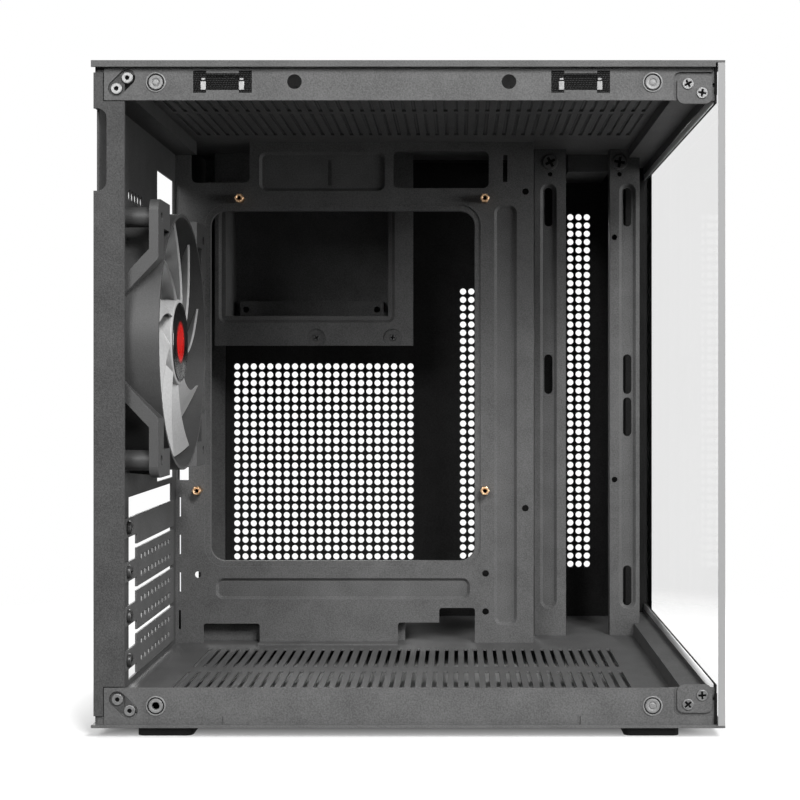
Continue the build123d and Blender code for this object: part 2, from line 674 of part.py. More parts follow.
def side_rail(name):
    """An upright rail with a pressed groove, slots for fans or drives, and folded edges."""
    reach, width = SIDE_RAILS[name]
    x0, x1 = x_beam - reach, x_beam - reach + width
    y = y_side_rail
    middle = x0 + RAIL_GROOVES[name]
    groove = (middle - GROOVE_WIDTH / 2, middle + GROOVE_WIDTH / 2, on_floor(GROOVE_LOW),
              on_floor(GROOVE_HIGH))
    body = side_sheet(patch(x0, x1, z_floor, z_ceiling), y)
    body = press(body, groove, GROOVE_WIDTH / 2 - STUD_CLEARANCE, y)
    half = RAIL_SLOT_WIDTH / 2
    slots = [stadium((middle, on_floor(low) + half), (middle, on_floor(high) - half), half)
             for low, high in RAIL_SLOTS[name]]
    body -= side_sheet(Sketch() + slots, y, PRESS_DEPTH + SHEET)
    u, v = rail_screw_place(name)
    holes = [disc(x0 + RAIL_HOLE_SIDE, on_floor(level), RAIL_HOLE_SIZE / 2) for level in RAIL_HOLES[name]]
    holes.append(disc(u, v, CASE_SCREW_RADIUS + STUD_CLEARANCE))
    holes.append(disc(u, v - RAIL_PILOT_DROP, RAIL_PILOT_SIZE / 2))
    body -= side_sheet(Sketch() + holes, y)
    for edge in (x0, x1 - SHEET):
        body += block(edge, edge + SHEET, y + SHEET, y + SHEET + SIDE_RAIL_FLANGE, z_floor, z_ceiling)
    return body


def rail_screw_place(name):
    """The screw of a side rail, in X and Z."""
    return x_beam - SIDE_RAILS[name][0] + RAIL_SCREWS[name], z_ceiling - RAIL_SCREW_DROP


def rail_screws():
    """The large-headed screw at the top of each side rail."""
    pieces = []
    for name in SIDE_RAILS:
        place = rail_screw_place(name)
        head = side_sheet(disc(*place, RAIL_HEAD_RADIUS), y_side_rail - CASE_HEAD / 2, CASE_HEAD / 2)
        pieces.append(head + side_sheet(disc(*place, CASE_SCREW_RADIUS), y_side_rail, 4 * SHEET))
    return Compound(children=pieces)


def front_beam(depth, z_deck, inward, lip, height, edge):
    """A folded beam along the front edge, with the end plate that two screws hold to the rail."""
    x0 = x_beam - depth
    z0, z1 = sorted((z_deck, z_deck + inward * height))
    y1 = y_pillar - FIT
    outline = patch(x0, x_beam, z0, z1) - patch(x0 + SHEET, x_beam, *inner_span(z0, z1, inward))
    tip = z_deck + inward * height
    outline += patch(x_beam - SHEET, x_beam, *sorted((tip, tip + inward * lip)))
    body = extrude(Plane.XZ.offset(-(y_deck + SHEET)) * outline, amount=-(y1 - y_deck - SHEET))
    plate = plate_corner(edge, inward, 0.0)
    holes = [disc(x, z, CASE_SCREW_RADIUS + STUD_CLEARANCE) for x, z in plate_screws(edge, inward)]
    bridge = patch(x0, x_beam - SHEET, *sorted((tip - inward * SHEET, tip)))
    reach, width = SIDE_RAILS["side_rail_outer"]
    around = block(x0, x_beam - reach + width + FIT, y_side_rail - FIT, y1, z0, z1)
    body += side_sheet(bridge, y_deck, SHEET) + side_sheet(plate, y_rail)
    return body - around - side_sheet(Sketch() + holes, y_rail, 2 * SHEET)


def inner_span(z0, z1, inward):
    """The open inside of a beam's section, which has no wall on the deck."""
    return (z0, z1 - SHEET) if inward > 0 else (z0 + SHEET, z1)


def plate_screws(edge, inward):
    """The two screws of an end plate, in X and Z."""
    x0 = x_beam - SHEET - PLATE_LENGTH
    return [(x0 + x, edge + inward * z) for x, z in PLATE_SCREWS]


def head_screws(places, radius, proud, length):
    """Flat-headed screws driven in from the open side."""
    pieces = []
    for x, z in places:
        head = side_sheet(disc(x, z, radius), y_rail - proud, proud)
        pieces.append(head + side_sheet(disc(x, z, CASE_SCREW_RADIUS), y_rail, length))
    return pieces


def ball_catches():
    """The four bushes that hold the studs of the missing side panel."""
    pieces = []
    for x, z in catch_places(z_top, -1) + catch_places(z_base, 1):
        bush = side_sheet(disc(x, z, CATCH_RADIUS), y_rail - CATCH_PROUD, CATCH_PROUD)
        bush += side_sheet(disc(x, z, CATCH_BUSH_RADIUS), y_rail, SHEET)
        pieces.append(bush - side_sheet(disc(x, z, CATCH_HOLE_RADIUS), y_rail - CATCH_PROUD, SHEET))
    return Compound(children=pieces)


def frame_screws():
    """The two screws in each slanted slot, seated behind the rail."""
    ends = frame_screw_places(-1) + frame_screw_places(1)
    return Compound(children=[side_sheet(disc(x, z, FRAME_SCREW_RADIUS), y_deck - FRAME_SCREW_HEAD,
                                         FRAME_SCREW_HEAD) for x, z in ends])


def panel_clip(x):
    """A clip insert: a waisted block with a shallow hollow and two pockets for its contacts."""
    z = z_top - CATCH_FROM_EDGE + FIT
    hollow = patch(on_wall(x) - CLIP_WAIST, on_wall(x) + CLIP_WAIST, z - CLIP_WAIST / 2 + SHEET,
                   z + CLIP_WAIST / 2 - SHEET)
    return side_sheet(clip_opening(x), y_rail) - side_sheet(hollow, y_rail, SHEET / 2)


def clip_contacts():
    """The two bright contacts of each clip."""
    z = z_top - CATCH_FROM_EDGE + FIT
    half = CLIP_LENGTH / 2 - CLIP_END + CONTACT_WIDTH / 2
    places = [on_wall(x) + side * half for x in CLIP_X for side in (-1, 1)]
    return Compound(children=[block(x - CONTACT_WIDTH / 2, x + CONTACT_WIDTH / 2, y_rail - FIT, y_rail,
                                    z - CLIP_WAIST / 2, z + CLIP_WAIST / 2) for x in places])


def front_glass():
    """The front pane, held between the rims of the base and the roof."""
    return block(x_glass, x_front, y_open, y_right, z_base + SHEET, z_top - SHEET)


def glass_gasket():
    """The dark seal between the pane and the beams and pillar."""
    low, high = z_floor + SILL_HEIGHT + SILL_LIP, z_ceiling - BEAM_HEIGHT - BEAM_LIP
    outer = patch(y_rail, y_pillar + BEAM_LIP, z_base + SHEET, z_top - SHEET)
    inner = patch(y_rail - SHEET, y_pillar, low, high)
    return back_sheet(outer - inner, x_beam, SEAL)


def front_pillar():
    """The folded corner post behind the dark edge of the pane."""
    y0, y1 = y_pillar, y_frame - SHEET
    x0 = x_beam - SILL_DEPTH
    return (block(x_beam - SHEET, x_beam, y0, y1, z_floor, z_top - SHEET)
            + block(x0, x_beam, y0, y0 + SHEET, z_floor, z_top - SHEET)
            + block(x0, x_beam, y1 - SHEET, y1, z_floor, z_top - SHEET))


def grid_slots(grid):
    """Columns of upright vents, each column divided by short bridges."""
    start, columns, low, high, vents = grid
    step = (high - low + VENT_BRIDGE) / vents
    slots = []
    for column in range(columns):
        x = on_wall(start + column * PANEL_PITCH)
        for row in range(vents):
            z = low + row * step
            slots.append(patch(x - PANEL_HOLE / 2, x + PANEL_HOLE / 2, on_floor(z),
                               on_floor(z + step - VENT_BRIDGE)))
    return slots


def right_panel():
    """The sliding right side: a sheet with the vents of the power supply and the intake."""
    z0, z1 = z_base + SHEET + FIT, z_top - SHEET - FIT
    x0 = x_wall - 2 * SHEET - FIT
    face = patch(x0, x_beam, z0, z1)
    for grid in (LOW_GRID, MIDDLE_GRID, FRONT_GRID):
        face -= grid_slots(grid)
    return side_sheet(face, y_skin)


def right_panel_flange():
    """The strip along the back edge of the right side, which the thumbscrews pass through."""
    z0, z1 = z_base + SHEET + FIT, z_top - SHEET - FIT
    flange = patch(y_skin - PANEL_FLANGE, y_skin, z0, z1)
    flange -= [disc(y_right - THUMB_INSET, on_floor(z), THUMB_SHANK + STUD_CLEARANCE) for z in THUMB_LEVELS]
    return back_sheet(flange, x_wall - 2 * SHEET - FIT)


def panel_thumbscrews():
    """The two captive thumbscrews of the right panel."""
    pieces = []
    x = x_wall - 2 * SHEET - FIT
    for level in THUMB_LEVELS:
        y, z = y_right - THUMB_INSET, on_floor(level)
        head = back_sheet(disc(y, z, THUMB_RADIUS), x - THUMB_LENGTH, THUMB_LENGTH)
        pieces.append(head + back_sheet(disc(y, z, THUMB_SHANK), x, 2 * SHEET + 2 * FIT))
    return Compound(children=pieces)


def drive_cage():
    """The folded drive holder behind the tray: a deep pocket with a stepped rim, a ledge and two ears."""
    low, high = on_floor(CAGE_LOW), z_ceiling
    body = block(on_wall(CAGE_X[0]), on_wall(CAGE_X[1]), y_cage, y_cage + SHEET, low, high)
    body = press(body, wall_bounds(POCKET_RIM), POCKET_CORNER, y_cage)
    pocket = wall_bounds(POCKET)
    depth = POCKET_DEPTH * across
    body = press(body, pocket, 0.0, y_cage + PRESS_DEPTH, depth - PRESS_DEPTH, 0.0)
    for x in CAGE_SCREWS:
        ear = (on_wall(x) - EAR_WIDTH / 2, on_wall(x) + EAR_WIDTH / 2, low - SHEET, low + EAR_HEIGHT)
        radius = EAR_WIDTH / 2 - STUD_CLEARANCE
        backing = side_sheet(grown_patch(ear, radius, SHEET), y_cage + SHEET, EAR_DEPTH)
        recess = side_sheet(grown_patch(ear, radius), y_cage, EAR_DEPTH)
        hole = side_sheet(disc(*cage_screw_place(x), CASE_SCREW_RADIUS), y_cage, EAR_DEPTH + SHEET)
        body = body + backing - recess - hole
    below = block(on_wall(CAGE_X[0]), on_wall(CAGE_X[1]), y_cage, y_cage + PRESS_DEPTH + EAR_DEPTH,
                  low - EAR_WIDTH, low)
    x0, x1, z0 = pocket[0] + LEDGE_MARGIN, pocket[1] - LEDGE_MARGIN, pocket[2]
    ledge = y_cage + depth - LEDGE_DEPTH
    body = body - below + block(x0, x1, ledge, ledge + SHEET, z0, z0 + LEDGE_HEIGHT)
    body += block(x0, x1, ledge, y_cage + depth, z0 + LEDGE_HEIGHT - SHEET, z0 + LEDGE_HEIGHT)
    middle = (x0 + x1) / 2
    holes = [disc(middle + side * DRIVE_HOLE_SPACING / 2, z0 + LEDGE_HEIGHT / 2, DRIVE_HOLE_RADIUS)
             for side in (-1, 1)]
    return body - side_sheet(Sketch() + holes, ledge, SHEET)


def cage_screw_place(x):
    """The screw of an ear of the drive cage, in X and Z."""
    return on_wall(x), on_floor(CAGE_LOW) + CAGE_SCREW_RISE


def cage_screws():
    """The two screws in the ears of the drive cage."""
    pieces = []
    for x in CAGE_SCREWS:
        place = cage_screw_place(x)
        seat = y_cage + EAR_DEPTH
        head = side_sheet(disc(*place, EAR_HEAD_RADIUS), seat - SHEET, SHEET)
        pieces.append(head + side_sheet(disc(*place, CASE_SCREW_RADIUS - STUD_CLEARANCE), seat, 3 * SHEET))
    return Compound(children=pieces)


def psu_support():
    """The folded bracket on the floor that the power supply rests on."""
    y0, y1 = y_tray + SHEET + RIM_LIP + SUPPORT_MARGIN, y_frame - SHEET - SUPPORT_MARGIN
    x0 = on_wall(SUPPORT_MARGIN)
    top = on_floor(SUPPORT_LEVEL)
    body = block(x0, x0 + SUPPORT_LENGTH, y0, y1, z_floor, top)
    return body - block(x0, x0 + SUPPORT_LENGTH, y0 + SHEET, y1 - SHEET, z_floor, top - SHEET)


def fan_place():
    """The middle of the fan, in Y and Z."""
    return y_rail + FAN_MARGIN + FAN_SIZE / 2, on_floor(FAN_LEVEL)


def fan_centre():
    """The fan's axis, as the plane of its rear face."""
    return Plane(origin=(x_wall, *fan_place()), x_dir=(0, 1, 0), z_dir=(1, 0, 0))


def fan_layer(sketch, start, depth):
    """A sketch on the fan's axis, made solid over part of its thickness."""
    return extrude(fan_centre().offset(start) * sketch, amount=depth)


def corner_grid():
    """The four corner holes of the fan."""
    half = FAN_SIZE / 2 - FAN_HOLE_INSET
    return [(a * half, b * half) for a in (-1, 1) for b in (-1, 1)]


def fan_frame():
    """The moulded frame: barrel, rear flange, corner posts, side ribs, struts and motor plate."""
    barrel = Circle(fan_bore + FAN_WALL) - Circle(fan_bore)
    square = RectangleRounded(FAN_SIZE, FAN_SIZE, FAN_CORNER)
    body = fan_layer(barrel, 0, FAN_THICKNESS)
    body += fan_layer(square - Circle(fan_bore), 0, FAN_FLANGE)
    span = EAR_SHARE * FAN_SIZE
    ears = square - Rot(0, 0, 45) * Rectangle(span, span) - Circle(fan_bore)
    body += fan_layer(ears, FAN_THICKNESS - FAN_FLANGE, FAN_FLANGE)
    posts = Sketch() + [disc(u, v, FAN_POST_RADIUS) for u, v in corner_grid()]
    body += fan_layer(posts, 0, FAN_THICKNESS)
    body += fan_ribs() - fan_layer(Circle(fan_bore), 0, FAN_THICKNESS)
    body += fan_layer(Circle(FAN_HUB_RADIUS), 0, FAN_HUB_PLATE)
    strut = Pos(fan_bore / 2, 0) * Rectangle(fan_bore + FAN_WALL, STRUT_WIDTH)
    for index in range(FAN_STRUTS):
        body += fan_layer(Rot(0, 0, 45 + index * 360 / FAN_STRUTS) * strut, 0, FAN_HUB_PLATE)
    body -= fan_layer(Sketch() + [disc(u, v, FAN_HOLE_RADIUS) for u, v in corner_grid()], 0, FAN_THICKNESS)
    return body - fan_layer(Circle(SHAFT_RADIUS), 0, FAN_HUB_PLATE)


def fan_ribs():
    """The bent webs that run from the front ears to the rear flange on each side of the frame."""
    corner = FAN_SIZE / 2 - FAN_CORNER
    near, far = RIB_NEAR * FAN_SIZE / 2, RIB_FAR * FAN_SIZE / 2
    back = FAN_THICKNESS - FAN_FLANGE
    rib = Polygon((FAN_THICKNESS, corner), (FAN_THICKNESS, near), (FAN_FLANGE, far), (0, far),
                  (0, far + FAN_FLANGE), (back, near + FAN_FLANGE), (back, corner), align=None)
    centre = fan_centre().origin
    plane = Plane(origin=centre, x_dir=(1, 0, 0), z_dir=(0, -1, 0))
    pair = [extrude(plane.offset(FAN_SIZE / 2 - RIB_DEPTH) * half, amount=RIB_DEPTH, dir=(0, -1, 0))
            for half in (rib, mirror(rib, Plane.XZ))]
    return Part() + [web.rotate(Axis(centre, (1, 0, 0)), 90 * side) for web in pair for side in range(4)]


def fan_blade():
    """One sickle-shaped blade, flat and drawn along its own radius."""
    root, tip = FAN_HUB_RADIUS - ROTOR_WALL, rotor_radius + FAN_WALL
    middle = (root + tip) / 2
    lead_root, lead_tip = (root, BLADE_ROOT), (tip, BLADE_LEAD)
    trail_tip, trail_root = (tip, -BLADE_ROOT), (root, -BLADE_ROOT)
    edge = Curve() + [
        ThreePointArc(lead_root, (middle, BLADE_ROOT + BLADE_HOLLOW), lead_tip),
        Line(lead_tip, trail_tip),
        ThreePointArc(trail_tip, (middle, -BLADE_ROOT - BLADE_BELLY), trail_root),
        Line(trail_root, lead_root),
    ]
    return extrude(make_face(edge), amount=BLADE_THICKNESS / 2, both=True)


def fan_rotor():
    """The impeller: a cup on the shaft and a ring of pitched blades."""
    start = FAN_HUB_PLATE + ROTOR_GAP
    body = fan_layer(Circle(FAN_HUB_RADIUS), start, ROTOR_LENGTH)
    body -= fan_layer(Circle(FAN_HUB_RADIUS - ROTOR_WALL), start, ROTOR_LENGTH - ROTOR_WALL)
    body += fan_layer(Circle(2 * SHAFT_RADIUS), start, ROTOR_LENGTH)
    sweep = fan_layer(Circle(rotor_radius) - Circle(FAN_HUB_RADIUS - ROTOR_WALL / 2), start, ROTOR_LENGTH)
    place = fan_centre().offset(start + ROTOR_LENGTH / 2 - BLADE_SETBACK)
    for blade in range(ROTOR_BLADES):
        turn = Rot(0, 0, ROTOR_TURN + blade * 360 / ROTOR_BLADES) * Rot(BLADE_PITCH, 0, 0)
        body += (place * turn * fan_blade()) & sweep
    return body - fan_layer(Circle(SHAFT_RADIUS + SHAFT_CLEARANCE), start, ROTOR_LENGTH - ROTOR_WALL)


def fan_shaft():
    """The steel pin that the impeller turns on."""
    return fan_layer(Circle(SHAFT_RADIUS), 0, FAN_HUB_PLATE + ROTOR_GAP + ROTOR_LENGTH - ROTOR_WALL - FIT)


def fan_hub_disc():
    """The plain round badge on the impeller's hub."""
    return fan_layer(Circle(HUB_DISC_RADIUS), FAN_HUB_PLATE + ROTOR_GAP + ROTOR_LENGTH, HUB_DISC)


def fan_screws():
    """The four self-tapping screws driven in from outside."""
    pieces = []
    for u, v in corner_grid():
        head = fan_layer(disc(u, v, CASE_HEAD_RADIUS), -SHEET - CASE_HEAD, CASE_HEAD)
        pieces.append(head + fan_layer(disc(u, v, FAN_HOLE_RADIUS - STUD_CLEARANCE), -SHEET, FAN_SCREW))
    return Compound(children=pieces)


def top_dust_filter():
    """The framed mesh that lies in the pressed roof."""
    x0, x1 = x_wall + SHEET + FIT, x_beam - SHEET - FIT
    y0, y1 = y_deck + SHEET + FIT, y_roof_end - SHEET - FIT
    deck = z_ceiling + SHEET
    frame = patch(x0, x1, y0, y1) - patch(x0 + FILTER_RIM, x1 - FILTER_RIM, y0 + FILTER_RIM, y1 - FILTER_RIM)
    mesh = patch(x0, x1, y0, y1)
    return flat_sheet(frame, deck, FILTER) + flat_sheet(mesh, deck, FILTER / 4)


def strip_housing():
    """The moulded box under the roof that holds the buttons and ports."""
    y0 = y_roof_end + STRIP_START
    z1 = z_top - SHEET
    body = block(on_wall(STRIP_X[0]), on_wall(STRIP_X[1]), y0, y0 + STRIP_DEPTH, z1 - STRIP_BODY, z1)
    for name in CONTROL_Y:
        deep = STRIP_BODY - SHEET if "button" in name else PORT_DEPTH
        clearance = BUTTON_CLEARANCE if "button" in name else 0.0
        body -= flat_sheet(control_outline(name, clearance), z1 - deep, deep)
    return body


def button(name):
    """A round button with a chamfered top, clear of its switch by its travel."""
    radius = BUTTON_RADIUS if name == "power_button" else RESET_RADIUS
    x, y = control_place(name)
    top = z_top + BUTTON_PROUD
    body = flat_sheet(disc(x, y, radius), top - BUTTON_LENGTH, BUTTON_LENGTH)
    return chamfer(body.edges().group_by(Axis.Z)[-1], BUTTON_PROUD / 2)


def switch(name):
    """The small switch block under a button."""
    x, y = control_place(name)
    floor = z_top - SHEET - STRIP_BODY + SHEET
    top = z_top + BUTTON_PROUD - BUTTON_LENGTH - BUTTON_TRAVEL - BUTTON_STOP
    half = SWITCH_SIDE / 2
    return block(x - half, x + half, y - half, y + half, floor, top)


def port(name):
    """A metal port shell, closed at its lower end."""
    shell = flat_sheet(control_outline(name), z_top - SHEET - PORT_DEPTH, PORT_DEPTH)
    mouth = PORT_DEPTH - SHEET
    if name == "audio_jack":
        return shell - flat_sheet(disc(*control_place(name), JACK_BORE), z_top - SHEET - mouth, mouth)
    return shell - flat_sheet(control_outline(name, -PORT_WALL), z_top - SHEET - mouth, mouth)


def foot(x, side):
    """A rubber foot under the pressed floor."""
    x0 = on_wall(x)
    near = y_open + FOOT_INSET
    y0, y1 = (near, near + FOOT_WIDTH) if side < 0 else (-near - FOOT_WIDTH, -near)
    return flat_sheet(patch(x0, x0 + FOOT_LENGTH, y0, y1, FOOT_CORNER), 0, z_floor - SHEET)


top_plate = plate_edge(z_top, -1)
base_plate = plate_edge(z_base, 1)
plate_places = plate_screws(top_plate, -1) + plate_screws(base_plate, 1)

pieces = {
    "base_pan": base_pan(),
    "top_panel": top_panel(),
    "rear_panel": rear_panel(),
    "motherboard_tray": motherboard_tray(),
    "standoffs": standoffs(),
    "front_top_beam": front_beam(BEAM_DEPTH, z_ceiling, -1, BEAM_LIP, BEAM_HEIGHT, top_plate),
    "front_bottom_beam": front_beam(SILL_DEPTH, z_floor, 1, SILL_LIP, SILL_HEIGHT, base_plate),
    "front_pillar": front_pillar(),
    "front_glass": front_glass(),
    "glass_gasket": glass_gasket(),
    "right_panel": right_panel(),
    "right_panel_flange": right_panel_flange(),
    "panel_thumbscrews": panel_thumbscrews(),
    "drive_cage": drive_cage(),
    "cage_screws": cage_screws(),
    "psu_support": psu_support(),
    "beam_screws": Compound(children=head_screws(plate_places, PLATE_SCREW_RADIUS, SHEET / 2, 2 * SHEET)),
    "frame_screws": frame_screws(),
    "ball_catches": ball_catches(),
    "panel_clip_rear": panel_clip(CLIP_X[0]),
    "panel_clip_front": panel_clip(CLIP_X[1]),
    "clip_contacts": clip_contacts(),
    "rail_screws": rail_screws(),
    "fan_frame": fan_frame(),
    "fan_rotor": fan_rotor(),
    "fan_shaft": fan_shaft(),
    "fan_hub_disc": fan_hub_disc(),
    "fan_screws": fan_screws(),
    "slot_cover_screws": slot_cover_screws(),
    "top_dust_filter": top_dust_filter(),
    "strip_housing": strip_housing(),
    "power_button": button("power_button"),
    "reset_button": button("reset_button"),
    "power_switch": switch("power_button"),
    "reset_switch": switch("reset_button"),
    "foot_rear_left": foot(FOOT_X[0], -1),
    "foot_front_left": foot(FOOT_X[1], -1),
    "foot_rear_right": foot(FOOT_X[0], 1),
    "foot_front_right": foot(FOOT_X[1], 1),
}
for name in SIDE_RAILS:
    pieces[name] = side_rail(name)
for name in ("usb_a_port_1", "usb_a_port_2", "usb_c_port", "audio_jack"):
    pieces[name] = port(name)
for index in range(SLOT_COUNT):
    pieces[f"slot_cover_{index + 1}"] = slot_cover(index)

os.makedirs("parts", exist_ok=True)
for name, piece in pieces.items():
    export_step(piece, f"parts/{name}.step")
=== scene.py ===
import json
import math

import bmesh
import bpy
from mathutils import Matrix, Vector


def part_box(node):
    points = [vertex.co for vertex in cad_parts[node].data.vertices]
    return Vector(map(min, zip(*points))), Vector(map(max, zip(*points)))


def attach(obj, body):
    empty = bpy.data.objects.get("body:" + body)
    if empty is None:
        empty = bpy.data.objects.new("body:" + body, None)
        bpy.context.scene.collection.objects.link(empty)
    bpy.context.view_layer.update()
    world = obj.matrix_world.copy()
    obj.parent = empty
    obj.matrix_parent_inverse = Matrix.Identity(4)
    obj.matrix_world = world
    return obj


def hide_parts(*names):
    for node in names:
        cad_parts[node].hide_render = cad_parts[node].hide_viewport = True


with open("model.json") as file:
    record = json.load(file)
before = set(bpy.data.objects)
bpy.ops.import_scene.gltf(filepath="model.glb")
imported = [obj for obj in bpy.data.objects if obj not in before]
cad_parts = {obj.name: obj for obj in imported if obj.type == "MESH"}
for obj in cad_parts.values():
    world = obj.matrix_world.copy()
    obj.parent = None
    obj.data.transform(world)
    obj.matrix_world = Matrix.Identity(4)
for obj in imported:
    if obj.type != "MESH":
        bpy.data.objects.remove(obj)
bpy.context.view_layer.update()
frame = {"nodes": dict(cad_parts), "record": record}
nodes = frame["nodes"]

MM = 0.001

# Where the photograph was taken from, in the part's frame, and how its picture is framed
CAMERA_PLACE = Vector((25.05, -772.0, 149.0)) * MM
SENSOR = 36.0
PICTURE_SIZE = 800
FOCAL_PIXELS = 1501
AXIS_PIXEL = (459.9, 386.1)

# Perforated right side: first column, columns, first row and rows, from the rear wall and the floor
HOLE_RADIUS = 1.9 * MM
HOLE_PITCH = 5.0 * MM
HOLE_SIDES = 16
HOLE_GRIDS = ((19.0, 22, 34.0, 24), (155.8, 7, 29.4, 34), (215.8, 4, 29.4, 43))
CASE_MIDDLE = 149.0 * MM
FLOOR_RISE = 5.5 * MM
WALL_OUTSIDE = 1.5 * MM

# How far each kind of screw head stands out of its seat, and the way that it faces
SCREWS = {
    "beam_screws": (0.5, "front", "cross"),
    "frame_screws": (0.8, "front", "hex"),
    "cage_screws": (1.0, "front", "cross"),
    "rail_screws": (1.0, "front", "cross"),
    "fan_screws": (2.0, "back", "cross"),
    "slot_cover_screws": (2.0, "inside", "cross"),
    "panel_thumbscrews": (6.0, "back", "cross"),
}
FACINGS = {
    "front": Matrix.Rotation(math.pi / 2, 4, "X"),
    "back": Matrix.Rotation(-math.pi / 2, 4, "Y"),
    "inside": Matrix.Rotation(math.pi / 2, 4, "Y"),
}
SCREW_SIDES = 32

# Pieces whose finish isn't the one of their slot. The three coats of steel differ so that each area comes
# out about as dark as in the photograph, where some of the difference is shadow.
OWN_FINISHES = {
    "rear_panel": "rear_steel",
    "fan_frame": "frame_plastic",
    "ball_catches": "catch_zinc",
    # These four get the much darker coat, which is painted shade
    "right_panel": "shade_painted_steel",
    "right_panel_flange": "shade_painted_steel",
    "front_pillar": "shade_painted_steel",
    "glass_gasket": "shade_painted_steel",
    "panel_clip_rear": "clip_weave",
    "panel_clip_front": "clip_weave",
}

# Catches, in shares of their radius and of the height of their rim: the domed middle, the rim from there
# outwards, and the grooves, whose near-black floors are painted shade
CATCH_FRONT = 0.5 * MM
CATCH_DOME = ((0.0, 0.7), (0.24, 0.6), (0.34, 0.1))
CATCH_RIM = ((0.44, 0.75), (0.66, 0.95), (0.74, 0.1), (0.82, 0.1), (0.88, 1.0), (0.97, 0.8), (1.0, 0.0),
             (0.69, 0.0))
CATCH_GROOVES = ((0.35, 0.43), (0.74, 0.82))

# Coats and mouldings: name, two base colours, roughness, grains a metre, depth of the grain in
# millimetres, specular level and metallic
COATS = {
    "black_steel": ("powder_coat", 0.05, 0.085, 0.55, 1500, 0.1, 0.1, 0.0),
    # The much darker copy of the black coat below is painted shade, for the right side, its flange, the
    # front pillar and the pane's gasket
    "shade_painted_steel": ("powder_coat_painted_shade", 0.006, 0.012, 0.6, 1500, 0.1, 0.04, 0.0),
    # The darker coat of the rear panel below is partly painted shade
    "rear_steel": ("powder_coat_rear", 0.03, 0.055, 0.58, 1500, 0.1, 0.08, 0.0),
    "frame_plastic": ("frame_plastic", 0.024, 0.036, 0.5, 1800, 0.06, 0.3, 0.0),
    "catch_zinc": ("catch_zinc", 0.1, 0.15, 0.4, 1200, 0.02, 0.4, 0.0),
    # The near-black finish below goes on the floors of screw recesses, catch grooves and standoff bores, as
    # painted shade
    "recess_painted_shade": ("recess_painted_shade", 0.002, 0.005, 0.9, 1200, 0.02, 0.02, 0.0),
    # The pale coat below is a painted highlight on the black lips of the front beams
    "painted_lip_highlight": ("painted_lip_highlight", 0.74, 0.8, 0.6, 900, 0.03, 0.2, 0.0),
    "bright_steel": ("zinc_steel", 0.1, 0.15, 0.45, 1200, 0.02, 0.5, 1.0),
    "dark_screw": ("screw_black", 0.02, 0.04, 0.35, 1400, 0.04, 0.3, 0.0),
    "black_plastic": ("moulded_black", 0.012, 0.022, 0.5, 1800, 0.06, 0.3, 0.0),
    "blade_plastic": ("blade_grey", 0.23, 0.27, 0.45, 900, 0.03, 0.5, 0.0),
    "foot_rubber": ("rubber_black", 0.006, 0.012, 0.75, 1500, 0.1, 0.15, 0.0),
}
BRASS = ((0.5, 0.32, 0.18), (0.66, 0.45, 0.28))
SOFT_EDGE = 0.3 * MM

# The pane: how much of it is seen, its black border, and the dots of the clips
PANE_ALPHA = 0.11
PANE_BORDER = 33.0 * MM
DOT_PITCH = 1.3 * MM

# Lamps: place in metres, width and power; the level of the world away from the camera; and the floor
LAMP_TARGET = Vector((0.0, 0.0, 0.14))
LAMPS = {
    "key_box": ((0.5, -1.15, 0.98), 0.45, 32),
    "front_box": ((-0.5, -1.5, 0.7), 0.5, 18),
    "side_box": ((1.2, -0.4, 0.3), 0.5, 18),
    "back_box": ((-0.4, 1.5, 0.9), 0.9, 30),
}
WORLD_FILL = 0.04
FLOOR_REACH = 1.2
FLOOR_FADE = (0.04, 0.14)
FLOOR_GLOW = 0.75
# The floor's glow starts past the case's footprint, so the floor under the case is dark: a painted shadow
GLOW_START = (0.11, 0.16)

# Pale strips on the lips of both front beams, as painted highlight, the dark seals beside them, and a dark
# strip under the roof, as painted shade
STRIP_HEIGHT = 3.6 * MM
LIP_HIGHLIGHT_WIDTH = 0.7 * MM
STRIP_CHAMFER = 0.15 * MM
SHEET = 1.0 * MM
# Size and place of the dark strip under the roof, which is painted shade
ROOF_SHADE_HEIGHT = 1.2 * MM
ROOF_SHADE_GAP = 0.2 * MM
ROOF_SHADE_INSET = (3.0 * MM, 6.0 * MM)

# Fan impeller: swept blades, measured behind the front plane of the hub
BLADES = 9
BLADE_PHASE = math.radians(19)
BLADE_SWEEP = math.radians(34)
BLADE_REACH = math.radians(40)
BLADE_PITCH = (math.radians(32), math.radians(20))
BLADE_TIP = 56.3 * MM
BLADE_DEPTH = (0.3 * MM, 0.6 * MM)
BLADE_WALL = 1.6 * MM
BLADE_ROWS = 14
BLADE_COLUMNS = 12
HUB_RADIUS = 20.0 * MM
HUB_ROUND = 0.8 * MM
HUB_DISC_RADIUS = 18.5 * MM
HUB_SPOT_RADIUS = 9.0 * MM


def node_tree(material):
    """The node tree and the shader of a new material."""
    material.use_nodes = True
    tree = material.node_tree
    return tree, tree.nodes["Principled BSDF"]


def add(tree, kind, **values):
    """A new node, with its inputs and properties set by name."""
    node = tree.nodes.new(kind)
    for name, value in values.items():
        if name in node.inputs:
            node.inputs[name].default_value = value
        else:
            setattr(node, name, value)
    return node


def combine(tree, operation, first, second):
    """The result of a math node on two values, where each is a socket or a number."""
    node = add(tree, "ShaderNodeMath", operation=operation)
    for index, value in enumerate((first, second)):
        if isinstance(value, (int, float)):
            node.inputs[index].default_value = value
        else:
            tree.links.new(value, node.inputs[index])
    return node.outputs["Value"]


def sum_of_squares(tree, first, second):
    """The squares of two sockets, added."""
    squares = [combine(tree, "MULTIPLY", value, value) for value in (first, second)]
    return combine(tree, "ADD", *squares)


